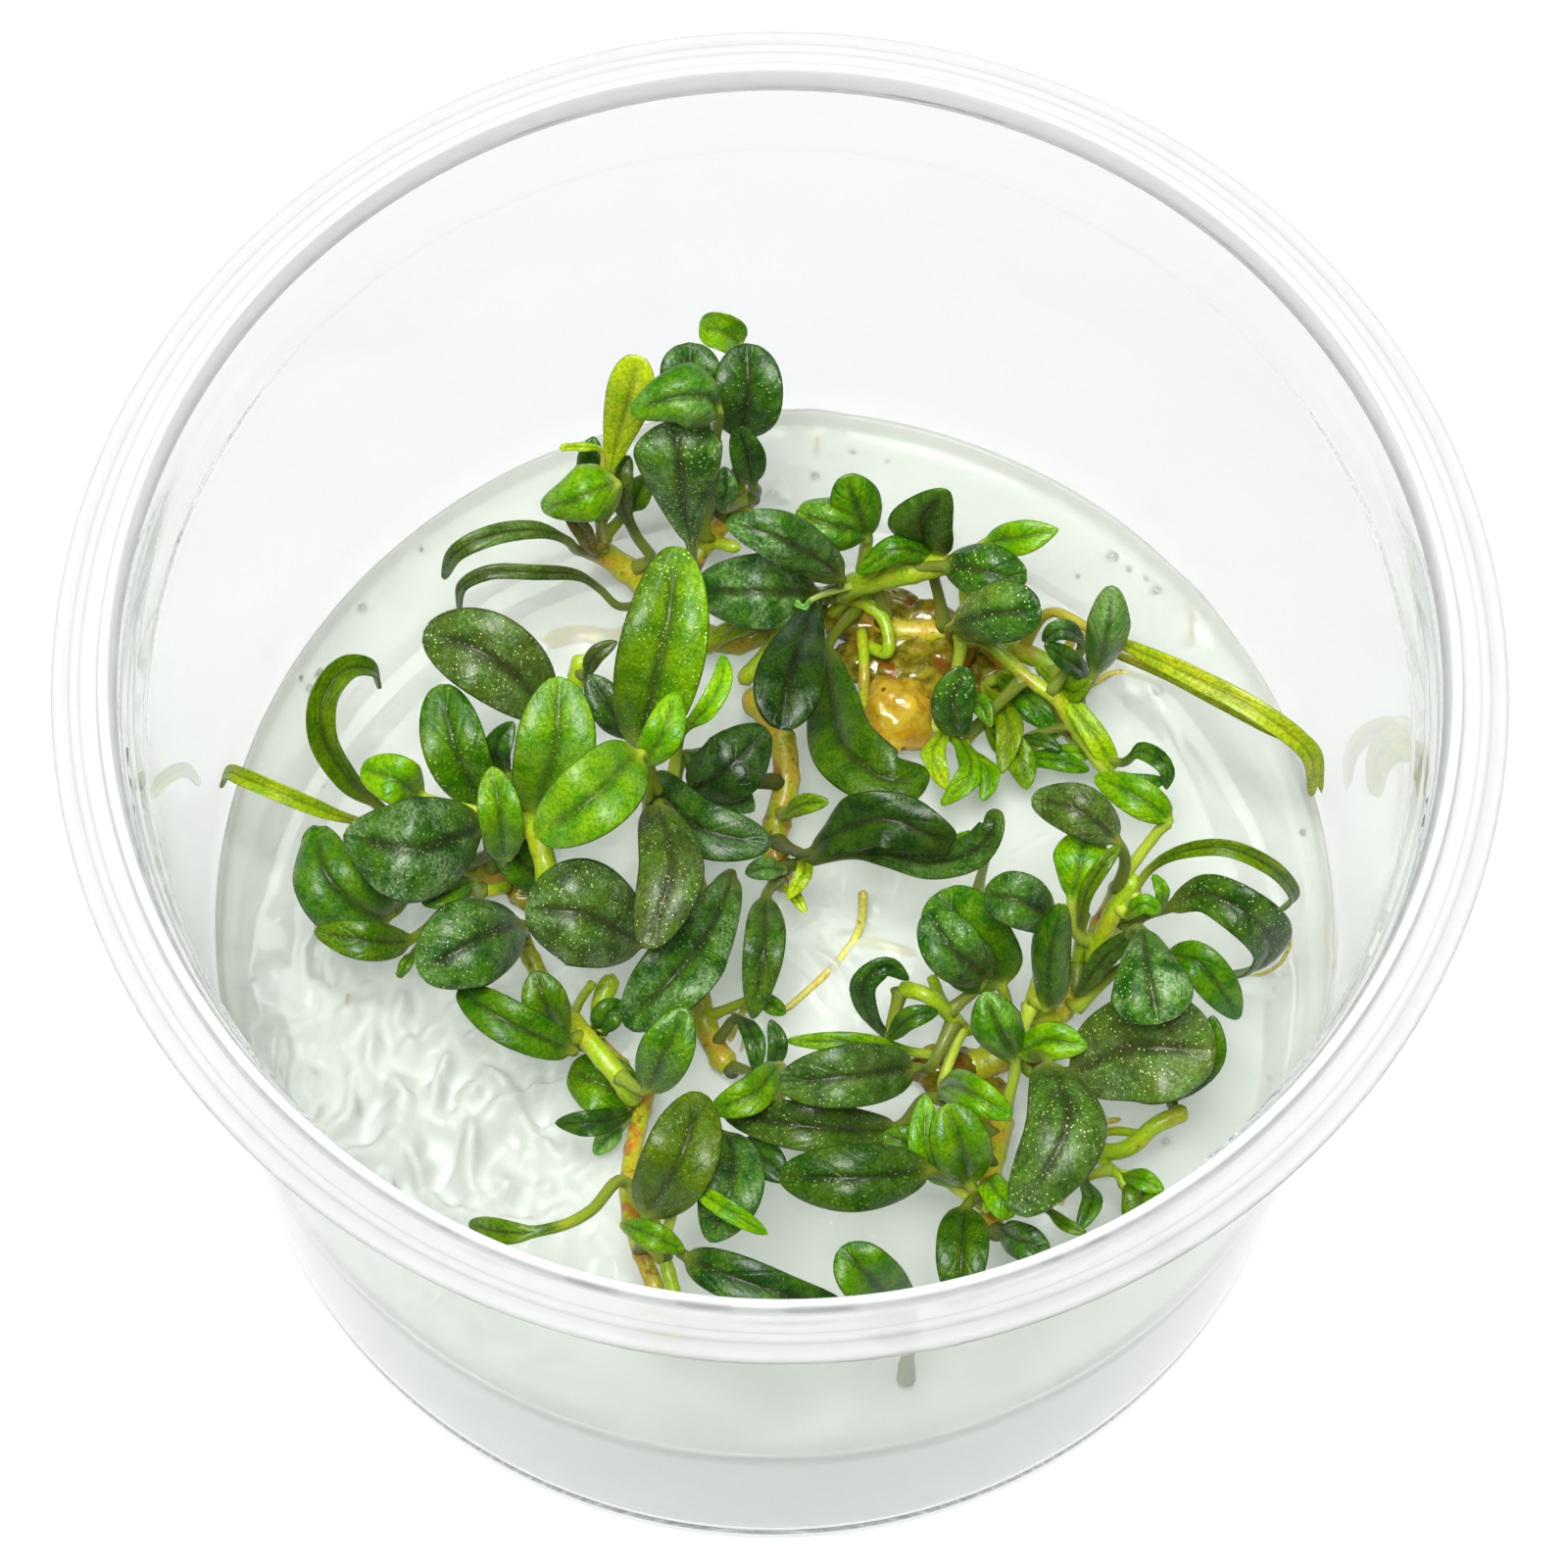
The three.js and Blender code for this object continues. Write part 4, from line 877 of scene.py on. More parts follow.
# Roots on and in the gel.
ROOTS = {
    "long_root": dict(
        radius=0.38,
        points=[(881, 908, 27.5), (879, 940, 25.6), (870, 962, 24.7), (838, 998, 24.5),
                (800, 1032, 24.9)]),
    "root_branch": dict(radius=0.5, points=[(872, 962, 24.1), (900, 964, 24), (936, 975, 23.8)]),
    "brown_trail": dict(
        radius=0.8, points=[(556, 656, 22.9), (590, 648, 22.9), (622, 652, 23), (650, 642, 23.6)]),
    "yellow_root": dict(
        radius=0.28, points=[(1096, 712, 26), (1118, 696, 25.2), (1140, 686, 24.6), (1182, 696, 24.4)]),
    "tip_root": dict(
        radius=0.18,
        points=[(1317, 956, 30.5), (1314, 970, 29), (1304, 985, 27), (1286, 994, 25), (1270, 996, 24)]),
    "low_root": dict(radius=0.3, points=[(766, 1018, 26.5), (754, 1040, 25.3), (744, 1064, 25)]),
    "side_root": dict(
        radius=0.24, points=[(724, 1045, 26), (742, 1030, 25), (760, 1050, 24.6), (756, 1075, 24.6)]),
    "back_streak": dict(radius=0.3, points=[(830, 436, 24.2), (832, 452, 22.5), (833, 468, 20)]),
    "right_streak": dict(radius=0.3, points=[(1214, 618, 24.2), (1216, 640, 22), (1214, 664, 19.5)]),
    "pink_bit": dict(radius=0.3, points=[(1117, 1142, 25), (1128, 1144, 25.2), (1144, 1142, 25)]),
    "pink_bit_low": dict(radius=0.35, points=[(1080, 1204, 25), (1084, 1216, 25.3), (1082, 1230, 25)]),
    "speck": dict(radius=0.12, points=[(356, 1014, 24.6), (354, 1022, 24.7), (356, 1030, 24.6)]),
    "edge_root": dict(radius=0.14, points=[(1355, 952, 24.6), (1358, 972, 24.8), (1361, 992, 24.5)]),
}


def eye_axes():
    """The eye's own right, up and forward directions, from its pitch below the horizon, yaw and roll."""
    pitch, yaw, roll = (math.radians(angle) for angle in (EYE_PITCH, EYE_YAW, EYE_ROLL))
    ahead = math.cos(pitch)
    forward = Vector((ahead * math.sin(yaw), ahead * math.cos(yaw), -math.sin(pitch)))
    side = forward.cross(Vector((0, 0, 1))).normalized()
    top = side.cross(forward)
    right = side * math.cos(roll) + top * math.sin(roll)
    up = top * math.cos(roll) - side * math.sin(roll)
    return right, up, forward


RIGHT, UP, FORWARD = eye_axes()


def seen(place):
    """The place in mm, at a height, where the eye sees (across, down)."""
    across, down, height = place
    middle = VIEW_SIZE / 2
    sight = FORWARD * VIEW_FOCUS + RIGHT * (across - middle) + UP * (middle - down)
    return EYE + sight * ((height - EYE.z) / sight.z)


def on_gel(place):
    """The point of the gel's flat skin where the eye sees (across, down)."""
    return seen((*place, GEL_TOP)).xy.to_3d()


def make_camera():
    data = bpy.data.cameras.new("camera")
    data.sensor_width = SENSOR_WIDTH
    data.lens = VIEW_FOCUS / VIEW_SIZE * SENSOR_WIDTH
    camera = new_piece("camera", data)
    turn = Matrix((RIGHT, UP, -FORWARD)).transposed().to_4x4()
    camera.matrix_world = Matrix.Translation(EYE * MM) @ turn
    bpy.context.scene.camera = camera


def smooth_step(low, high, value):
    share = min(1, max(0, (value - low) / (high - low)))
    return share * share * (3 - 2 * share)


def lerp(a, b, share):
    return a + (b - a) * share


def bell(away, width):
    """1 in the middle, falling smoothly to 0 a few widths away."""
    return math.exp(-(away / width) ** 2)


def square_to(direction, axis):
    """What is left of a direction at right angles to an axis."""
    return direction - axis * direction.dot(axis)


class Route:
    """A smooth curve through points: a centripetal Catmull-Rom spline."""

    def __init__(self, points):
        self.points = points

    def at(self, share):
        points = self.points
        place = (len(points) - 1) * min(1, max(0, share))
        i = min(int(place), len(points) - 2)
        rest = place - i
        p1 = points[i]
        p2 = points[i + 1]
        p0 = points[i - 1] if i > 0 else 2 * p1 - p2
        p3 = points[i + 2] if i + 2 < len(points) else 2 * p2 - p1
        step0 = math.sqrt((p1 - p0).length)
        step1 = math.sqrt((p2 - p1).length)
        step2 = math.sqrt((p3 - p2).length)
        start = ((p1 - p0) / step0 - (p2 - p0) / (step0 + step1) + (p2 - p1) / step1) * step1
        end = ((p2 - p1) / step1 - (p3 - p1) / (step1 + step2) + (p3 - p2) / step2) * step1
        bend = -3 * p1 + 3 * p2 - 2 * start - end
        close = 2 * p1 - 2 * p2 + start + end
        return p1 + start * rest + bend * rest ** 2 + close * rest ** 3

    def along(self, share):
        return (self.at(share + 1e-4) - self.at(share - 1e-4)).normalized()

    def length(self, low=0, high=1, parts=24):
        places = [self.at(lerp(low, high, i / parts)) for i in range(parts + 1)]
        return sum((b - a).length for a, b in zip(places, places[1:]))


def route_of(stem):
    return Route([seen(p) for p in stem["points"]])


def search_tree(places):
    tree = kdtree.KDTree(len(places))
    for i, place in enumerate(places):
        tree.insert(place, i)
    tree.balance()
    return tree


def pick_stem_places():
    """Places along every stem, each with its own stem's direction and radius, and a tree to find them."""
    places = []
    for stem in [*STEMS.values(), *SIDE_STEMS.values()]:
        route = route_of(stem)
        steps = max(8, int(route.length() / FOOT_STEP))
        for i in range(steps + 1):
            places.append((route.at(i / steps), route.along(i / steps), stem["radius"]))
    return places, search_tree([place for place, _, _ in places])


def leaf_target(leaf):
    """The first point that a leaf's foot reaches for."""
    return seen((leaf.get("stalk") or leaf["blade"])[0])


def foot_on_stem(stem, share, target):
    """A leaf's first two points: inside its stem, and just off its surface, facing the leaf."""
    route = route_of(stem)
    place = route.at(share)
    away = square_to(target - place, route.along(share)).normalized()
    return place + away * stem["radius"] * FOOT_DEPTH, place + away * (stem["radius"] + FOOT_GAP)


def foot_nearby(target, places, tree):
    """A small leaf's first two points: on the nearest stem, or else in the gel below it."""
    _, index, distance = tree.find(target)
    place, along, radius = places[index]
    if distance > STEM_REACH:
        low = Vector((target.x, target.y, GEL_TOP - 1))
        return low, low + (target - low) * 0.3
    away = square_to(target - place, along)
    if away.length < 1e-3:
        away = Vector((0, 0, 1))
    away = away.normalized()
    return place + away * radius * SMALL_FOOT_DEPTH, place + away * (radius + SMALL_FOOT_GAP)


class Skin:
    """Points, faces and attributes of one closed surface after another, for one mesh."""

    def __init__(self):
        self.points = []
        self.faces = []
        self.looks = []

    def add_rings(self, rings):
        """Closes rings of (point in mm, look) into a skin with a pole at both ends."""
        count = len(rings[0])
        first = len(self.points)
        for ring in rings:
            for point, look in ring:
                self.points.append(point * MM)
                self.looks.append(look)
        for i in range(len(rings) - 1):
            for k in range(count):
                a = first + i * count + k
                b = first + i * count + (k + 1) % count
                self.faces.append((a, b, b + count, a + count))
        self.add_pole(first, count, True)
        self.add_pole(first + (len(rings) - 1) * count, count, False)

    def add_pole(self, start, count, at_start):
        middle = sum((self.points[start + k] for k in range(count)), Vector()) / count
        pole = len(self.points)
        self.points.append(middle)
        self.looks.append(self.looks[start])
        for k in range(count):
            a = start + k
            b = start + (k + 1) % count
            self.faces.append((pole, b, a) if at_start else (pole, a, b))

    def mesh(self, name):
        """The mesh. A look is (place on the blade, tint, specks), and each becomes an attribute."""
        data = bpy.data.meshes.new(name)
        data.from_pydata(self.points, [], self.faces)
        for part, title in enumerate(("place", "tint")):
            values = [v for look in self.looks for v in look[part]]
            data.attributes.new(title, "FLOAT_VECTOR", "POINT").data.foreach_set("vector", values)
        specks = [look[2] for look in self.looks]
        data.attributes.new("specks", "FLOAT", "POINT").data.foreach_set("value", specks)
        data.shade_smooth()
        return data


def leaf_stations(leaf, feet):
    """Points along a leaf from its foot to its tip, each with direction, blade share and stalk share."""
    blade = [seen(p) for p in leaf["blade"]]
    stalk = [seen(p) for p in leaf.get("stalk", [])]
    route = Route([feet[1]] + stalk + blade)
    blade_start = (len(stalk) + 1) / (len(stalk) + len(blade))
    stalk_count = max(4, int(route.length(0, blade_start) / STALK_STEP))
    blade_count = max(16, int(route.length(blade_start, 1) / BLADE_STEP))
    stations = [(feet[0], (feet[1] - feet[0]).normalized(), 0, 0)]
    for i in range(stalk_count):
        share = blade_start * i / stalk_count
        stations.append((route.at(share), route.along(share), 0, (i + 1) / (stalk_count + 1)))
    for i in range(blade_count + 1):
        even = i / blade_count
        share = lerp(even, (1 - math.cos(math.pi * even)) / 2, 0.5)
        t = lerp(blade_start, 1, share)
        stations.append((route.at(t), route.along(t), share, 1))
    return stations


def carried_normals(stations, twist):
    """Normals that face the eye at mid blade, carried along from there, with an even twist."""
    middle = min(range(len(stations)), key=lambda i: abs(stations[i][2] - 0.5))
    normals = [None] * len(stations)
    point, along, _, _ = stations[middle]
    normals[middle] = square_to(EYE - point, along).normalized()
    for i in [*range(middle + 1, len(stations)), *range(middle - 1, -1, -1)]:
        before = normals[i - 1] if i > middle else normals[i + 1]
        normals[i] = square_to(before, stations[i][1]).normalized()
    turns = [math.radians(twist) * (share - 0.5) if share > 0 else 0 for _, _, share, _ in stations]
    return [Quaternion(s[1], turn) @ n for s, turn, n in zip(stations, turns, normals)]


def outline(share, widest, blunt):
    """Half the blade's width at a share of its length, as a share of its greatest half width."""
    warped = share ** (math.log(0.5) / math.log(widest))
    return math.sin(math.pi * warped) ** blunt if 0 < share < 1 else 0


def leaf_sizes(leaf, share, stalk_share):
    """The blade's half width and the stalk's radius in mm, at a share of the blade and of the stalk."""
    half_width = leaf["width"] / 2
    tip = TIP_HALF_WIDTH * min(1, (1 - share) / TIP_LENGTH) if share > 0.8 else 0
    blade_half = max(outline(share, leaf["widest"], leaf["blunt"]) * half_width, tip)
    sheath = 1 + STALK_SWELL * math.exp(-stalk_share * 5) if share == 0 else 1
    radius = min(STALK_RADIUS, 0.32 * half_width + 0.12)
    radius *= sheath * (1 - smooth_step(0.1, 0.9, share))
    return blade_half, radius


def add_leaf(skin, name, leaf, feet):
    """One leaf: a round stalk that widens into a thin blade, folded and pillowed beside its midrib."""
    leaf = {**LEAF_DEFAULTS, **leaf}
    chance = random.Random(name)
    stations = leaf_stations(leaf, feet)
    normals = carried_normals(stations, leaf.get("twist", chance.uniform(-CHANCE_TWIST, CHANCE_TWIST)))
    look = leaf_look(leaf, chance)
    rings = []
    for (point, along, share, stalk_share), normal in zip(stations, normals):
        side = along.cross(normal)
        blade_half, radius = leaf_sizes(leaf, share, stalk_share)
        half = (blade_half ** 4 + radius ** 4) ** 0.25
        flatness = smooth_step(0.6, 2.2, blade_half / max(radius, 0.1))
        ring = []
        for v, upper in RING:
            up_side = 1 if upper or abs(v) == 1 else -1
            blade = blade_point(v, up_side, half, leaf["width"] / 2, share, look)
            turn = v * math.pi / 2
            across = lerp(radius * math.sin(turn), blade[0], flatness)
            lift = lerp(up_side * radius * math.cos(turn), blade[1], flatness)
            place = (share if share > 0 else stalk_share - 1, v, 0.5 if abs(v) == 1 else upper)
            point_look = (place, look["tint"](v, share), leaf["speck"])
            ring.append((point + side * across + normal * lift, point_look))
        rings.append(ring)
    skin.add_rings(rings)


def leaf_look(leaf, chance):
    """The blade's form beside its midrib, and its tint at (across, along)."""
    shade = leaf["shade"] + chance.uniform(-CHANCE_SHADE, CHANCE_SHADE)

    def tint(v, share):
        tip = leaf["tip"] * smooth_step(0.6, 1, share)
        edge = smooth_step(0.3, 0.9, v * leaf["edge"]) * (1 - share)
        darker = shade + leaf["half"] * v + 0.35 * tip + 0.8 * edge
        return darker, min(1, leaf["warm"] + tip + edge), leaf["silver"]

    return dict(
        tint=tint,
        fold=math.sin(math.radians(leaf["fold"])),
        curl=leaf["curl"],
        bulge=leaf["bulge"],
        wave=leaf["wave"],
        waves=chance.uniform(1.2, 2.2),
        phases=(chance.uniform(0, 6), chance.uniform(0, 6)),
        seed=Vector((chance.uniform(0, 50), chance.uniform(0, 50), chance.uniform(0, 50))),
    )


def blade_point(v, up_side, half, half_width, share, look):
    """Where a point of the blade's section lies across and above its midrib, in mm."""
    side = abs(v)
    flat = half / half_width
    across = v * half
    softened = math.sqrt(side * side + 0.012) - 0.11
    lift = half * flat * look["fold"] * softened
    lift += half * flat * look["curl"] * side * side
    lift += half * flat * look["bulge"] * math.sin(math.pi * side)
    turn = 2 * math.pi * look["waves"] * share + look["phases"][0 if v < 0 else 1]
    lift += look["wave"] * half_width * flat * side ** 1.5 * math.sin(turn)
    ruffle = noise.noise(look["seed"] + Vector((across * 0.55, share * half_width * 1.6, 0)))
    lift += RUFFLE * flat * ruffle
    if side == 1:
        return across, lift
    thickness = lerp(EDGE_THICKNESS, BLADE_THICKNESS, math.sqrt(max(0, 1 - v * v)))
    lift += up_side * thickness / 2
    if up_side > 0:
        lift -= GROOVE_DEPTH * bell(across, GROOVE_WIDTH) * min(1, flat * 2)
    else:
        lift -= KEEL_DEPTH * bell(across, KEEL_WIDTH) * (1 - 0.8 * share)
    return across, lift


def new_piece(name, data):
    piece = bpy.data.objects.new(name, data)
    bpy.context.collection.objects.link(piece)
    return piece


def dress(piece, material, nodes=()):
    """Gives a finished piece its material and slot, says what it rides on, and hides the parts it stands
    for.
    """
    piece.data.materials.clear()
    piece.data.materials.append(material)
    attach(piece, "root")
    if nodes:
        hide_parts(*nodes)


class Graph:
    """Short ways to add nodes to a node tree and link them."""

    def __init__(self, tree):
        self.tree = tree

    def add(self, kind, inputs=None, **settings):
        node = self.tree.nodes.new(kind)
        for name, value in settings.items():
            setattr(node, name, value)
        self.fill(node, inputs or {})
        return node

    def fill(self, node, inputs):
        """Sets a node's inputs: a plain value on the socket itself, and another node's output as a link."""
        for name, value in inputs.items():
            if isinstance(value, bpy.types.NodeSocket):
                self.tree.links.new(value, node.inputs[name])
            else:
                node.inputs[name].default_value = value

    def where(self):
        return self.add("ShaderNodeTexCoord").outputs["Object"]

    def split(self, vector):
        return self.add("ShaderNodeSeparateXYZ", {0: vector}).outputs

    def attribute(self, name, output="Vector"):
        return self.add("ShaderNodeAttribute", attribute_name=name).outputs[output]

    def math(self, operation, a, b=0.0):
        return self.add("ShaderNodeMath", {0: a, 1: b}, operation=operation).outputs[0]

    def times(self, a, b):
        return self.math("MULTIPLY", a, b)

    def scaled(self, vector, factor):
        """A colour or direction, made larger or smaller by a factor."""
        node = self.add("ShaderNodeVectorMath", {0: vector, "Scale": factor}, operation="SCALE")
        return node.outputs["Vector"]

    def ramp(self, value, low, high, out_low=0.0, out_high=1.0):
        """value from low to high becomes out_low to out_high, smoothly."""
        node = self.add(
            "ShaderNodeMapRange",
            {"Value": value, "From Min": low, "From Max": high, "To Min": out_low, "To Max": out_high},
            interpolation_type="SMOOTHSTEP",
        )
        return node.outputs["Result"]

    def mix(self, factor, a, b):
        """Colour a where the factor is 0, and b where it is 1."""
        node = self.add("ShaderNodeMix", {"Factor": factor}, data_type="RGBA")
        self.fill(node, {6: a, 7: b})
        return node.outputs[2]

    def noise(self, vector, size, detail=2.0, roughness=0.5):
        """Noise from 0 to 1 with features of about that size in metres."""
        inputs = {"Vector": vector, "Scale": 1 / size, "Detail": detail, "Roughness": roughness}
        return self.add("ShaderNodeTexNoise", inputs).outputs["Fac"]

    def cells(self, vector, size):
        """Cells of about that size in metres: their outputs are Distance from the middle and Color."""
        return self.add("ShaderNodeTexVoronoi", {"Vector": vector, "Scale": 1 / size}).outputs

    def bump(self, height, strength, depth):
        inputs = {"Height": height, "Strength": strength, "Distance": depth}
        return self.add("ShaderNodeBump", inputs).outputs["Normal"]

    def finish(self, inputs):
        """Sets the inputs of the material's shader."""
        self.fill(self.tree.nodes["Principled BSDF"], inputs)


def new_tree(name, inputs, output):
    """A geometry nodes tree with named inputs and one output, its graph and the inputs' sockets."""
    tree = bpy.data.node_groups.new(name, "GeometryNodeTree")
    for title, kind in inputs.items():
        tree.interface.new_socket(title, in_out="INPUT", socket_type="NodeSocket" + kind)
    tree.interface.new_socket(output, in_out="OUTPUT", socket_type="NodeSocketGeometry")
    graph = Graph(tree)
    return tree, graph, graph.add("NodeGroupInput").outputs


def end_tree(graph, shape, material, output):
    """Ends a tree with smooth shading, real geometry and its material."""
    smooth = graph.add("GeometryNodeSetShadeSmooth", {"Geometry": shape})
    real = graph.add("GeometryNodeRealizeInstances", {"Geometry": smooth.outputs["Geometry"]})
    inputs = {"Geometry": real.outputs["Geometry"], "Material": material}
    finished = graph.add("GeometryNodeSetMaterial", inputs)
    graph.add("NodeGroupOutput", {output: finished.outputs["Geometry"]})


def thickness_at_points(graph):
    node = graph.add("GeometryNodeInputNamedAttribute", {"Name": "thick"}, data_type="FLOAT")
    return node.outputs["Attribute"]


def swept_tree():
    """Geometry nodes: a round tube along each line of edges, as thick as the line's own attribute says."""
    inputs = {
        "Lines": "Geometry", "Sides": "Int", "Lump Size": "Float", "Lump Height": "Float",
        "Finish": "Material",
    }
    tree, graph, given = new_tree("swept tube", inputs, "Tubes")
    line = graph.add("GeometryNodeMeshToCurve", {"Mesh": given["Lines"]})
    ring = graph.add("GeometryNodeCurvePrimitiveCircle", {"Resolution": given["Sides"], "Radius": 1.0})
    tube = graph.add("GeometryNodeCurveToMesh", {
        "Curve": line.outputs["Curve"],
        "Profile Curve": ring.outputs["Curve"],
        "Scale": thickness_at_points(graph),
        "Fill Caps": True,
    })
    lump = graph.add("ShaderNodeTexNoise", {"Scale": given["Lump Size"], "Detail": 2.0})
    lift = graph.times(graph.math("SUBTRACT", lump.outputs["Fac"], 0.5), given["Lump Height"])
    normal = graph.add("GeometryNodeInputNormal").outputs["Normal"]
    moved = graph.add("GeometryNodeSetPosition", {
        "Geometry": tube.outputs["Mesh"],
        "Offset": graph.scaled(normal, lift),
    })
    end_tree(graph, moved.outputs["Geometry"], given["Finish"], "Tubes")
    return tree


def turned_tree():
    """Geometry nodes: a line of edges, drawn as radius and height, turned about the upright axis."""
    inputs = {"Profile": "Geometry", "Sides": "Int", "Ring Radius": "Float", "Finish": "Material"}
    tree, graph, given = new_tree("turned wall", inputs, "Wall")
    line = graph.add("GeometryNodeMeshToCurve", {"Mesh": given["Profile"]})
    ring_inputs = {"Resolution": given["Sides"], "Radius": given["Ring Radius"]}
    ring = graph.add("GeometryNodeCurvePrimitiveCircle", ring_inputs)
    wall = graph.add("GeometryNodeCurveToMesh", {
        "Curve": ring.outputs["Curve"],
        "Profile Curve": line.outputs["Curve"],
    })
    closed = graph.add("GeometryNodeMergeByDistance", {"Geometry": wall.outputs["Mesh"], "Distance": 1e-6})
    end_tree(graph, closed.outputs["Geometry"], given["Finish"], "Wall")
    return tree


def beads_tree():
    """Geometry nodes: a small ball on each point, as large as the point's own attribute says."""
    inputs = {"Points": "Geometry", "Fineness": "Int", "Finish": "Material"}
    tree, graph, given = new_tree("beads", inputs, "Beads")
    ball = graph.add("GeometryNodeMeshIcoSphere", {"Radius": 1.0, "Subdivisions": given["Fineness"]})
    set_out = graph.add("GeometryNodeInstanceOnPoints", {
        "Points": given["Points"],
        "Instance": ball.outputs["Mesh"],
        "Scale": thickness_at_points(graph),
    })
    end_tree(graph, set_out.outputs["Instances"], given["Finish"], "Beads")
    return tree


def grown(name, data, tree, values):
    """Runs a geometry nodes tree on a mesh and returns the result as a plain mesh object."""
    source = new_piece(name + "_source", data)
    modifier = source.modifiers.new("grow", "NODES")
    modifier.node_group = tree
    for item in tree.interface.items_tree:
        if item.in_out == "INPUT" and item.name in values:
            modifier[item.identifier] = values[item.name]
    view = bpy.context.evaluated_depsgraph_get()
    result = bpy.data.meshes.new_from_object(source.evaluated_get(view))
    bpy.data.objects.remove(source)
    result.name = name
    return new_piece(name, result)


def line_mesh(name, points, edges, thick):
    """A mesh of points and edges for a tree to grow on, with the thickness in metres at each point."""
    data = bpy.data.meshes.new(name)
    data.from_pydata(points, edges, [])
    data.attributes.new("thick", "FLOAT", "POINT").data.foreach_set("value", thick)
    return data


def stem_line(stem, scars, thin_tip=0.0):
    """A stem's line of (point, radius) in metres: leaf scars every few mm, and rounded ends."""
    route = route_of(stem)
    length = route.length()
    radius = stem["radius"]
    steps = max(10, int(length / STEM_STEP))
    line = []
    for i in range(steps + 1):
        share = i / steps
        place = share * length
        scar = bell((place % SCAR_SPACING) - SCAR_PLACE, SCAR_WIDTH)
        size = radius * (1 + scars * SCAR_HEIGHT * scar) * lerp(1, 1 - thin_tip, share)
        ends = min(place, length - place) / radius
        size *= math.sqrt(max(0.02, 1 - (1 - min(1, ends)) ** 2))
        line.append((route.at(share) * MM, size * MM))
    return line


def make_tubes(name, lines, tree, material, sides, lumps, lump_height, nodes=()):
    """Round tubes along lines, as one piece. lump_height is in mm."""
    points = []
    edges = []
    thick = []
    for line in lines:
        start = len(points)
        edges += [(start + i, start + i + 1) for i in range(len(line) - 1)]
        for point, radius in line:
            points.append(point)
            thick.append(radius)
    piece = grown(name, line_mesh(name, points, edges, thick), tree, {
        "Sides": sides, "Lump Size": lumps, "Lump Height": lump_height * MM, "Finish": material,
    })
    dress(piece, material, nodes)


def make_stems(tree, finishes):
    for name, stem in STEMS.items():
        line = stem_line(stem, scars=1)
        make_tubes(name + "_skin", [line], tree, finishes["stem"], 28, STEM_LUMPS, 0.22, [name])
    lines = [stem_line(stem, scars=0.6) for stem in SIDE_STEMS.values()]
    make_tubes("side_stems", lines, tree, finishes["stalk"], 20, STEM_LUMPS, 0.12)
    lines = [stem_line(root, scars=0, thin_tip=0.3) for root in ROOTS.values()]
    make_tubes("roots", lines, tree, finishes["root"], 14, ROOT_LUMPS, 0.1)


def make_leaves(finishes):
    for name, leaf in LEAVES.items():
        skin = Skin()
        add_leaf(skin, name, leaf, foot_on_stem(STEMS[leaf["stem"]], leaf["at"], leaf_target(leaf)))
        piece = new_piece(name + "_skin", skin.mesh(name))
        dress(piece, finishes[leaf["tone"]], [name])


def make_small_leaves(finishes):
    places, tree = pick_stem_places()
    skins = {}
    for name, leaf in SMALL_LEAVES.items():
        skin = skins.setdefault(leaf["tone"], Skin())
        add_leaf(skin, name, leaf, foot_nearby(leaf_target(leaf), places, tree))
    for tone, skin in skins.items():
        name = "small_%s_leaves" % tone
        dress(new_piece(name, skin.mesh(name)), finishes[tone])


def arc(middle_r, middle_z, radius, start, end, steps):
    """Profile points round a corner, from one angle in degrees to another."""
    points = []
    for i in range(steps + 1):
        angle = math.radians(lerp(start, end, i / steps))
        points.append((middle_r + radius * math.cos(angle), middle_z + radius * math.sin(angle)))
    return points


def wall_radius(height):
    """Inside radius of the cup's wall in mm, at a height between its foot and the step."""
    low = FLOOR + INNER_ROUNDING
    return lerp(WALL_FOOT, STEP_INNER, (height - low) / (STEP_HEIGHT - low))


def wall_inside(share):
    """A point of the wall's inside, at a share of the way from its foot to the step."""
    return lerp(WALL_FOOT, STEP_INNER, share), lerp(FLOOR + INNER_ROUNDING, STEP_HEIGHT, share)


def cup_profile():
    """Radius and height of the cup's wall in mm, from under its middle up to the rim and back."""
    foot = FOOT_ROUNDING
    return [
        (0, FLOOR_UNDERSIDE), (34, FLOOR_UNDERSIDE), (36.5, 0.5), (38.2, 0.1), (39.2, 0),
        *arc(FOOT_RADIUS - foot, foot, foot, -90, 0, 8),
        (MOUTH_RADIUS - 1.05, FLANGE_UNDER - 9), (MOUTH_RADIUS - 0.5, FLANGE_UNDER - 3.2),
        (MOUTH_RADIUS - 0.12, FLANGE_UNDER - 0.8), (MOUTH_RADIUS + 0.06, FLANGE_UNDER - 0.3),
        (MOUTH_RADIUS, WALL_END), (WALL_END_INNER, WALL_END),
        (STEP_OUTER + 0.1, STEP_HEIGHT + 2.2), (STEP_INNER + 0.24, STEP_HEIGHT + 0.5),
        (STEP_INNER + 0.18, STEP_HEIGHT + 0.25), (STEP_INNER + 0.04, STEP_HEIGHT + 0.2),
        (STEP_INNER, STEP_HEIGHT - 0.1), wall_inside(0.6), wall_inside(0.2),
        *arc(WALL_FOOT - INNER_ROUNDING, FLOOR + INNER_ROUNDING, INNER_ROUNDING, 0, -90, 8),
        (INNER_FOOT, FLOOR), (0, FLOOR),
    ]


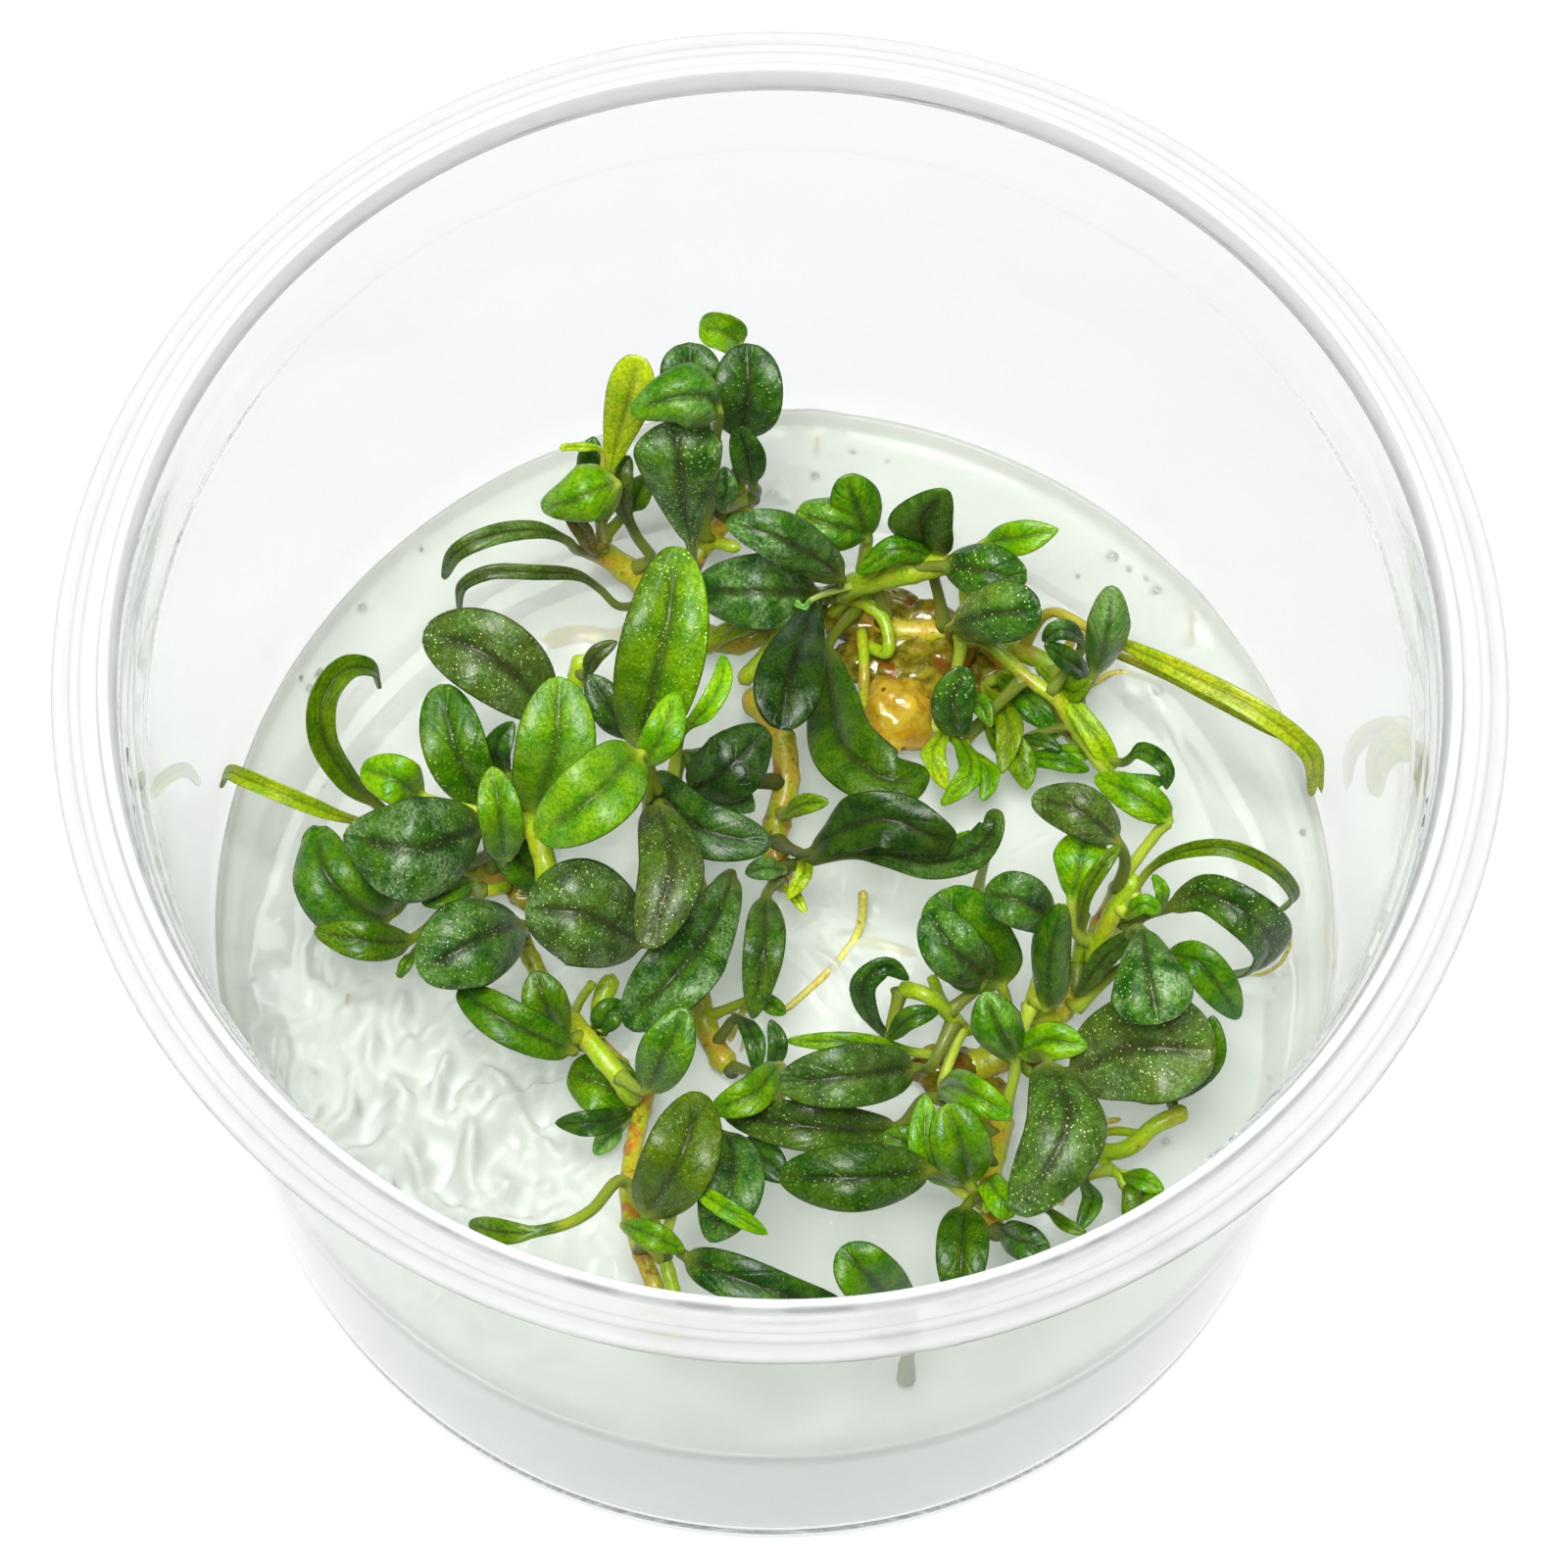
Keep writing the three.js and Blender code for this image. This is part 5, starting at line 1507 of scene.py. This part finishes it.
def rim_profile():
    """Radius and height of the rim in mm, once round its section: the flange, its ridge and the lip."""
    flange = FLANGE_THICKNESS / 2
    foot = WALL_END + RIM_CLEARANCE
    crest = FLANGE_TOP + RIDGE_HEIGHT
    lip = LIP_ROUNDING
    return [
        (WALL_END_INNER, foot), (MOUTH_RADIUS + 0.08, foot), (MOUTH_RADIUS + 0.4, FLANGE_UNDER),
        *arc(RIM_RADIUS - flange, FLANGE_TOP - flange, flange, -90, 90, 8),
        (RIDGE_RADIUS + RIDGE_FOOT, FLANGE_TOP), (RIDGE_RADIUS + RIDGE_CREST, crest),
        (RIDGE_RADIUS - RIDGE_CREST, crest), (RIDGE_RADIUS - RIDGE_FOOT, FLANGE_TOP),
        (RIM_TOP_OUTER + 0.25, FLANGE_TOP), (RIM_TOP_OUTER + 0.05, FLANGE_TOP + 0.12),
        (RIM_TOP_OUTER, FLANGE_TOP + 0.35),
        *arc(RIM_TOP_OUTER - lip, CUP_HEIGHT - lip, lip, 0, 90, 4),
        *arc(MOUTH_RADIUS + lip, CUP_HEIGHT - lip, lip, 90, 180, 4),
        (WALL_END_INNER, foot),
    ]


def turned_piece(name, profile, tree, material):
    """A profile turned about the upright axis, with its faces pointing outwards."""
    points = [((r - SWEEP_RADIUS) * MM, -z * MM, 0) for r, z in profile]
    data = bpy.data.meshes.new(name)
    data.from_pydata(points, [(i, i + 1) for i in range(len(points) - 1)], [])
    piece = grown(name, data, tree, {
        "Sides": CUP_SIDES, "Ring Radius": SWEEP_RADIUS * MM, "Finish": material,
    })
    shape = bmesh.new()
    shape.from_mesh(piece.data)
    bmesh.ops.recalc_face_normals(shape, faces=shape.faces)
    shape.to_mesh(piece.data)
    shape.free()
    return piece


def make_cup(tree, clear, milky):
    """The rim, and the wall with a slightly wavy step."""
    rim = turned_piece("cup_rim", rim_profile(), tree, milky)
    dress(rim, milky)
    wall = turned_piece("cup_wall", cup_profile(), tree, clear)
    for vertex in wall.data.vertices:
        radius = math.hypot(vertex.co.x, vertex.co.y) / MM
        if abs(vertex.co.z / MM - STEP_HEIGHT) < 1 and radius < STEP_OUTER + 0.3:
            rough = noise.noise(vertex.co * 260) + 0.6 * noise.noise(vertex.co * 900)
            vertex.co.z += STEP_WAVINESS * MM * rough
    dress(wall, clear, ["cup"])


def rumple_form(spot):
    """The form of the rumpled skin at a spot: folds, small wrinkles and lumps."""
    across = noise.noise(spot / 5 + Vector((9, 0, 0)))
    down = noise.noise(spot / 5 + Vector((0, 9, 0)))
    warp = Vector((across, down, 0))
    folds = 1 - abs(noise.noise((spot + 1.5 * warp) / 3.6)) * 3
    small = noise.noise((spot + 2 * warp) / 1.3 + Vector((0, 0, 5)))
    lumps = noise.noise(spot / 2.4 + Vector((0, 7, 0)))
    return 0.4 * folds + 0.32 * small + 0.5 * lumps - 0.2


def gel_height(x, y, rumples, scratches, feet):
    """Height of the gel's skin in mm: waves, rumples, scratches, and a rise at the wall and at stems."""
    spot = Vector((x, y, 0))
    height = GEL_TOP
    for rise, size in GEL_WAVES:
        height += rise * noise.noise(spot / size)
    for middle, reach, rise in rumples:
        near = bell((spot - middle).length, reach)
        if near > 0.02:
            height += near * rise * rumple_form(spot)
    for a, b in scratches:
        share = min(1, max(0, (spot - a).dot(b - a) / (b - a).length ** 2))
        away = (spot - a.lerp(b, share)).length
        if away < SCRATCH_REACH:
            height -= SCRATCH_DEPTH * bell(away, SCRATCH_WIDTH) * (0.5 + noise.noise(spot / 1.5))
    _, _, away = feet.find(Vector((x, y, GEL_TOP)))
    height += RISE_AT_STEMS * bell(away, RISE_WIDTH)
    height += RISE_AT_WALL * smooth_step(WALL_FOOT - 2.1, WALL_FOOT + 1, math.hypot(x, y)) ** 2
    return height


def stem_feet():
    """A tree of the places where stems and roots lie on the gel."""
    low = []
    for stem in [*STEMS.values(), *SIDE_STEMS.values(), *ROOTS.values()]:
        route = route_of(stem)
        for i in range(41):
            place = route.at(i / 40)
            if place.z - stem["radius"] < GEL_TOP + LYING_LOW:
                low.append(Vector((place.x, place.y, GEL_TOP)))
    return search_tree(low)


def around(radius):
    """The (x, y) places of one ring of the gel."""
    angles = [2 * math.pi * k / GEL_SIDES for k in range(GEL_SIDES)]
    return [(radius * math.cos(angle), radius * math.sin(angle)) for angle in angles]


def gel_points():
    """The gel's points in mm: the skin's middle, its rings, the sides and the bottom's middle."""
    rumples = [(on_gel(place), reach, rise) for *place, reach, rise in RUMPLES]
    scratches = [(on_gel(a), on_gel(b)) for line in SCRATCHES for a, b in zip(line, line[1:])]
    feet = stem_feet()
    edge = wall_radius(GEL_TOP + 1) - GEL_GAP
    points = [Vector((0, 0, gel_height(0, 0, rumples, scratches, feet)))]
    for i in range(1, GEL_RINGS + 1):
        for x, y in around(edge * i / GEL_RINGS):
            points.append(Vector((x, y, gel_height(x, y, rumples, scratches, feet))))
    low = FLOOR + GEL_GAP
    corner = INNER_ROUNDING - GEL_GAP
    below = [(wall_radius(height) - GEL_GAP, height) for height in GEL_SIDE_HEIGHTS]
    below += arc(WALL_FOOT - INNER_ROUNDING, FLOOR + INNER_ROUNDING, corner, 0, -90, 6)[1:]
    below += [(INNER_FOOT, low), (20, low)]
    for radius, height in below:
        points += [Vector((x, y, height)) for x, y in around(radius)]
    return points + [Vector((0, 0, low))], GEL_RINGS + len(below)


def make_gel(material):
    points, rings = gel_points()
    bottom = len(points) - 1
    last = bottom - GEL_SIDES
    faces = []
    for k in range(GEL_SIDES):
        after = (k + 1) % GEL_SIDES
        faces.append((0, 1 + k, 1 + after))
        for i in range(rings - 1):
            a = 1 + i * GEL_SIDES + k
            b = 1 + i * GEL_SIDES + after
            faces.append((a, a + GEL_SIDES, b + GEL_SIDES, b))
        faces.append((bottom, last + after, last + k))
    data = bpy.data.meshes.new("gel_layer")
    data.from_pydata([p * MM for p in points], [], faces)
    data.shade_smooth()
    dress(new_piece("gel_layer", data), material, ["gel"])


def make_bubbles(tree, material):
    points = []
    sizes = []
    for across, down, radius in BUBBLES:
        points.append(seen((across, down, GEL_TOP + BUBBLE_LIFT * radius)) * MM)
        sizes.append(radius * BUBBLE_SHOWN * MM)
    data = line_mesh("bubbles", points, [], sizes)
    piece = grown("bubbles", data, tree, {"Fineness": BUBBLE_FINENESS, "Finish": material})
    dress(piece, material)


def lumps_mesh(name, lumps, fineness):
    shape = bmesh.new()
    for place, radii, knobs in lumps:
        middle = seen(place)
        ball = bmesh.ops.create_icosphere(shape, subdivisions=fineness, radius=1)
        for vertex in ball["verts"]:
            out = vertex.co.normalized()
            spot = middle + out * 1.8
            knob = knobs * (noise.noise(spot) + 0.4 * noise.noise(spot * 2.3))
            vertex.co = (middle + out * (1 + knob) * Vector(radii)) * MM
    data = bpy.data.meshes.new(name)
    shape.to_mesh(data)
    shape.free()
    data.shade_smooth()
    return data


def make_lumps(callus, tissue):
    """The ball of callus, and the low lumps of tissue that join the stems' feet."""
    ball = new_piece("callus", lumps_mesh("callus", CALLUS_LUMPS, CALLUS_FINENESS))
    dress(ball, callus, ["callus_lump"])
    low = new_piece("foot_tissue", lumps_mesh("foot_tissue", TISSUE_LUMPS, TISSUE_FINENESS))
    dress(low, tissue)


def new_group(name, colours, values):
    """A shader node group with named inputs, its graph, and the sockets of its inputs."""
    group = bpy.data.node_groups.new(name, "ShaderNodeTree")
    for titles, kind in ((colours, "Color"), (values, "Float")):
        for title in titles:
            group.interface.new_socket(title, in_out="INPUT", socket_type="NodeSocket" + kind)
    for title, kind in (("Colour", "Color"), ("Roughness", "Float"), ("Height", "Float")):
        group.interface.new_socket(title, in_out="OUTPUT", socket_type="NodeSocket" + kind)
    graph = Graph(group)
    return group, graph, graph.add("NodeGroupInput").outputs


def leaf_skin_group():
    """A leaf's colour, gloss and fine relief: midrib, veins, pale specks, dark margin, a painted silvery
    sheen and painted shade near the midrib.
    """
    colours = ("Blade", "Deep", "Warm", "Silver", "Rib", "Speck", "Stalk", "Under")
    group, graph, given = new_group("leaf skin", colours, ("Rib Strength",))
    where = graph.where()
    place = graph.split(graph.attribute("place"))
    tint = graph.split(graph.attribute("tint"))
    specks = graph.attribute("specks", "Fac")
    along = place["X"]
    side = graph.math("ABSOLUTE", place["Y"])
    upper = graph.ramp(place["Z"], 0.4, 0.6)
    shade = tint["X"]
    warm = tint["Y"]
    silver = tint["Z"]

    mottle = graph.noise(where, 1.9 * MM, 3, 0.6)
    fine = graph.noise(where, 0.28 * MM, 2, 0.6)
    colour = graph.mix(graph.ramp(mottle, 0.36, 0.64), given["Deep"], given["Blade"])
    patches = graph.ramp(graph.noise(where, 2.8 * MM, 2), 0.3, 0.7, 0.45, 1)
    colour = graph.mix(graph.times(warm, patches), colour, given["Warm"])

    # Painted sheen: silvery highlights painted into the colour in grainy patches off the midrib, as strong
    # as each leaf's sheen amount.
    sheen = graph.ramp(graph.noise(where, 2.2 * MM, 4, 0.65), 0.42, 0.68)
    sheen_grain = graph.ramp(graph.noise(where, 0.22 * MM, 1), 0.36, 0.62, 0.2, 1)
    off_rib = graph.ramp(side, 0.03, 0.2)
    sheen = graph.times(graph.times(sheen, sheen_grain), graph.times(silver, off_rib))
    colour = graph.mix(graph.times(sheen, 0.9), colour, given["Silver"])

    veins = graph.math("SUBTRACT", graph.times(along, 26), graph.times(side, 9))
    veins = graph.ramp(graph.math("SINE", veins), 0.55, 1)
    colour = graph.mix(graph.times(veins, 0.16), colour, given["Deep"])
    colour = graph.scaled(colour, graph.ramp(fine, 0.34, 0.66, 0.78, 1.2))

    far_from_tip = graph.ramp(along, 0.75, 0.98, 1, 0)
    # Painted shade: the blade is drawn up to about a fifth darker in the hollow along the midrib, fading out
    # towards the tip.
    midrib_shade = graph.times(graph.ramp(side, 0.04, 0.3, 1, 0), far_from_tip)
    colour = graph.scaled(colour, graph.ramp(midrib_shade, 0, 1, 1, 0.78))
    rib = graph.times(graph.ramp(side, 0.01, 0.2, 1, 0), far_from_tip)
    colour = graph.mix(graph.times(rib, given["Rib Strength"]), colour, given["Rib"])

    cells = graph.cells(where, 0.34 * MM)
    dots = graph.ramp(cells["Distance"], 0.14, 0.23, 1, 0)
    chosen = graph.math("LESS_THAN", graph.split(cells["Color"])["X"], 0.85)
    crowded = graph.ramp(graph.noise(where, 3.2 * MM, 1), 0.32, 0.6, 0.35, 1)
    dots = graph.times(graph.times(dots, chosen), graph.times(crowded, specks))
    colour = graph.mix(graph.times(dots, 0.85), colour, given["Speck"])

    colour = graph.mix(graph.ramp(upper, 0, 1, 0.75, 0), colour, given["Under"])
    colour = graph.mix(graph.ramp(along, -0.02, 0.16, 0.9, 0), colour, given["Stalk"])
    margin = graph.times(graph.ramp(side, 0.93, 1), graph.ramp(along, 0, 0.1))
    colour = graph.scaled(colour, graph.ramp(margin, 0, 1, 1, 0.55))
    colour = graph.scaled(colour, graph.math("POWER", SHADE_BASE, shade))

    rough = graph.ramp(fine, 0.3, 0.7, 0.26, 0.42)
    rough = graph.math("ADD", rough, graph.ramp(upper, 0, 1, 0.12, 0))
    relief = graph.math("SUBTRACT", fine, graph.times(veins, 0.5))
    graph.add("NodeGroupOutput", {"Colour": colour, "Roughness": rough, "Height": relief})
    return group


def stem_skin_group():
    """The colour and relief of a creeping stem: yellow-green with orange, red and brown stretches."""
    group, graph, given = new_group("stem skin", ("Fresh", "Orange", "Red", "Brown"), ("Patches",))
    where = graph.where()
    moved = graph.add("ShaderNodeVectorMath", {0: where, 1: (0.05, 0.02, 0.07)}, operation="ADD").outputs[0]
    fine = graph.noise(where, 0.3 * MM, 3, 0.6)
    colour = given["Fresh"]
    stretches = (
        ("Orange", where, 3.4, 0.44, 0.62),
        ("Red", moved, 2.6, 0.56, 0.68),
        ("Brown", moved, 1.1, 0.6, 0.72),
    )
    for title, spot, size, low, high in stretches:
        patch = graph.ramp(graph.noise(spot, size * MM, 3), low, high)
        colour = graph.mix(graph.times(patch, given["Patches"]), colour, given[title])
    colour = graph.scaled(colour, graph.ramp(fine, 0.3, 0.7, 0.82, 1.15))
    rough = graph.ramp(fine, 0.3, 0.7, 0.28, 0.5)
    graph.add("NodeGroupOutput", {"Colour": colour, "Roughness": rough, "Height": fine})
    return group


def new_material(name):
    material = bpy.data.materials.new(name)
    material.use_nodes = True
    return material, Graph(material.node_tree)


def skin_material(name, group, values, bump, gloss):
    """A finish of leaves or stems: the group's colour, roughness and relief, and its own gloss."""
    material, graph = new_material(name)
    skin = graph.add("ShaderNodeGroup", node_tree=group)
    graph.fill(skin, values)
    graph.finish({
        "Base Color": skin.outputs["Colour"],
        "Roughness": skin.outputs["Roughness"],
        "Normal": graph.bump(skin.outputs["Height"], *bump),
        **gloss,
    })
    return material


def make_leaf_finishes(group):
    """The five leaf finishes, from dark grown leaves to pale young ones."""
    gloss = {"Specular IOR Level": 0.24, "Coat Weight": 0.12, "Coat Roughness": 0.16}
    finishes = {}
    for tone, colours in LEAF_TONES.items():
        values = {**LEAF_SHARED, **colours, "Rib Strength": RIB_STRENGTHS[tone]}
        finishes[tone] = skin_material(tone + " leaf", group, values, (0.55, 0.12 * MM), gloss)
    return finishes


def make_stem_finishes(group):
    """The finishes of the creeping stems, of side stems and stalks, and of roots."""
    gloss = {"Coat Weight": 0.3, "Coat Roughness": 0.15}
    finishes = {}
    for name, values in STEM_TONES.items():
        finishes[name] = skin_material(name, group, values, (0.5, 0.15 * MM), gloss)
    return finishes


def wall_material():
    """Thin clear plastic, a little greener at the foot and greyer above the gel."""
    material, graph = new_material("clear plastic")
    where = graph.where()
    height = graph.split(where)["Z"]
    colour = graph.mix(graph.noise(where, 4 * MM, 1), WALL_CLEAR, WALL_CLEARER)
    above_gel = graph.ramp(height, (GEL_TOP - 1) * MM, (GEL_TOP + 6) * MM)
    colour = graph.mix(above_gel, colour, WALL_ABOVE_GEL)
    foot = graph.ramp(height, 0.2 * MM, 3 * MM, 1, 0)
    graph.finish({
        "Base Color": graph.mix(foot, colour, WALL_AT_FOOT),
        "Roughness": 0,
        "Transmission Weight": 1,
        "IOR": 1.12,
    })
    return material


def rim_material():
    """The same plastic where it is thick: milky, with painted light that whitens the lip's inner part, and
    faint grey lines of painted shade at the lip's foot and the ridge.
    """
    material, graph = new_material("milky plastic")
    where = graph.where()
    haze = graph.noise(where, 4 * MM, 3)
    flat = graph.add("ShaderNodeVectorMath", {0: where, 1: (1, 1, 0)}, operation="MULTIPLY").outputs[0]
    radius = graph.add("ShaderNodeVectorMath", {0: flat}, operation="LENGTH").outputs["Value"]
    colour = graph.mix(haze, RIM_WHITE, RIM_HAZE)
    # Painted light: the lip's inner part is drawn whiter than the flange, to brighten its dim inner face.
    on_lip = graph.ramp(radius, (MOUTH_RADIUS + 0.3) * MM, (RIM_TOP_OUTER + 0.1) * MM, 1, 0)
    colour = graph.mix(on_lip, colour, LIP_PAINTED_LIGHT)
    # Painted shade: faint grey lines where the lip and the ridge meet the flange.
    for line in (RIM_TOP_OUTER + 0.1, RIDGE_RADIUS - RIDGE_FOOT, RIDGE_RADIUS + RIDGE_FOOT):
        away = graph.math("ABSOLUTE", graph.math("SUBTRACT", radius, line * MM))
        colour = graph.mix(graph.ramp(away, 0.02 * MM, 0.14 * MM, 0.7, 0), colour, RIM_PAINTED_SHADE)
    graph.finish({
        "Base Color": colour,
        "Roughness": graph.ramp(haze, 0.3, 0.7, 0.04, 0.1),
        "Transmission Weight": 0.6,
        "IOR": 1.05,
    })
    return material


def gel_material():
    """Agar gel: half clear, slightly cloudy and green-grey at the top, and whiter below."""
    material, graph = new_material("gel")
    where = graph.where()
    cloud = graph.noise(where, 7 * MM, 3)
    height = graph.split(where)["Z"]
    below = graph.ramp(height, (GEL_TOP - 3) * MM, (GEL_TOP - 0.6) * MM, 1, 0)
    graph.finish({
        "Base Color": graph.mix(below, graph.mix(cloud, GEL_CLOUD, GEL_CLEAR), GEL_BELOW),
        "Roughness": graph.ramp(cloud, 0.3, 0.7, 0.02, 0.06),
        "Transmission Weight": 0.52,
        "IOR": 1.18,
        "Normal": graph.bump(graph.noise(where, 1.2 * MM, 1), 0.25, 0.1 * MM),
    })
    return material


def bubble_material():
    material, graph = new_material("bubble")
    graph.finish({
        "Base Color": BUBBLE_CLEAR,
        "Roughness": graph.ramp(graph.noise(graph.where(), 0.5 * MM), 0.3, 0.7, 0, 0.04),
        "Transmission Weight": 1,
        "IOR": 1.25,
    })
    return material


def callus_material():
    """Callus: glassy amber brown with lighter cells and dark spots."""
    material, graph = new_material("callus")
    where = graph.where()
    mottle = graph.noise(where, 1.4 * MM, 4, 0.6)
    cells = graph.ramp(graph.cells(where, 0.5 * MM)["Distance"], 0.1, 0.5, 0.4, 0)
    spots = graph.ramp(graph.cells(where, 1.6 * MM)["Distance"], 0.1, 0.2, 0.9, 0)
    colour = graph.mix(graph.ramp(mottle, 0.35, 0.65), CALLUS_DARK, CALLUS_LIGHT)
    colour = graph.mix(cells, colour, CALLUS_CELLS)
    graph.finish({
        "Base Color": graph.mix(spots, colour, CALLUS_SPOTS),
        "Roughness": graph.ramp(mottle, 0.3, 0.7, 0.05, 0.16),
        "Coat Weight": 0.8,
        "Coat Roughness": 0.05,
        "Transmission Weight": 0.5,
        "IOR": 1.35,
        "Normal": graph.bump(mottle, 0.6, 0.3 * MM),
    })
    return material


def tissue_material():
    """Olive brown tissue, half clear, that joins the stems' feet."""
    material, graph = new_material("foot tissue")
    where = graph.where()
    mottle = graph.noise(where, 1.2 * MM, 4, 0.6)
    colour = graph.mix(graph.ramp(mottle, 0.35, 0.65), TISSUE_OLIVE, TISSUE_LIGHT)
    brown = graph.ramp(graph.noise(where, 2.4 * MM, 2), 0.52, 0.66)
    graph.finish({
        "Base Color": graph.mix(brown, colour, TISSUE_BROWN),
        "Roughness": graph.ramp(mottle, 0.3, 0.7, 0.08, 0.22),
        "Coat Weight": 0.6,
        "Coat Roughness": 0.05,
        "Transmission Weight": 0.4,
        "IOR": 1.35,
        "Normal": graph.bump(mottle, 0.5, 0.3 * MM),
    })
    return material


def make_floor():
    bpy.ops.mesh.primitive_plane_add(size=FLOOR_SIZE, location=(0, 0, 0))
    floor = bpy.context.object
    floor.name = "floor"
    material, graph = new_material("floor")
    graph.finish({
        "Base Color": FLOOR_GREY,
        "Roughness": 0.7,
        "Specular IOR Level": 0.2,
        "Emission Color": (1, 1, 1, 1),
        "Emission Strength": FLOOR_GLOW,
    })
    material.cycles.emission_sampling = "NONE"
    floor.data.materials.append(material)


def make_lights():
    world = bpy.data.worlds.new("studio")
    world.use_nodes = True
    graph = Graph(world.node_tree)
    where = graph.add("ShaderNodeTexCoord").outputs["Generated"]
    strength = graph.ramp(graph.split(where)["Z"], 0.1, 0.55, STUDIO_FOOT, STUDIO_TOP)
    graph.fill(world.node_tree.nodes["Background"], {"Strength": strength})
    world.cycles.sampling_method = "NONE"
    bpy.context.scene.world = world
    for name, (place, side, power) in LIGHTS.items():
        data = bpy.data.lights.new(name, "AREA")
        data.size = side
        data.energy = power
        light = new_piece(name, data)
        light.location = place
        light.rotation_euler = (LIGHT_AIM - Vector(place)).to_track_quat("-Z", "Y").to_euler()


def set_look():
    """Plain colours as a screen shows them, and only as many light bounces as the clear pieces need."""
    scene = bpy.context.scene
    scene.view_settings.view_transform = "Standard"
    scene.cycles.use_light_tree = False
    scene.cycles.max_bounces = CLEAR_BOUNCES
    scene.cycles.diffuse_bounces = DIFFUSE_BOUNCES
    scene.cycles.glossy_bounces = CLEAR_BOUNCES
    scene.cycles.transmission_bounces = CLEAR_BOUNCES


set_look()
make_camera()
make_floor()
make_lights()
stem_finishes = make_stem_finishes(stem_skin_group())
leaf_finishes = make_leaf_finishes(leaf_skin_group())
make_cup(turned_tree(), wall_material(), rim_material())
make_gel(gel_material())
make_bubbles(beads_tree(), bubble_material())
make_lumps(callus_material(), tissue_material())
make_stems(swept_tree(), stem_finishes)
make_leaves(leaf_finishes)
make_small_leaves(leaf_finishes)
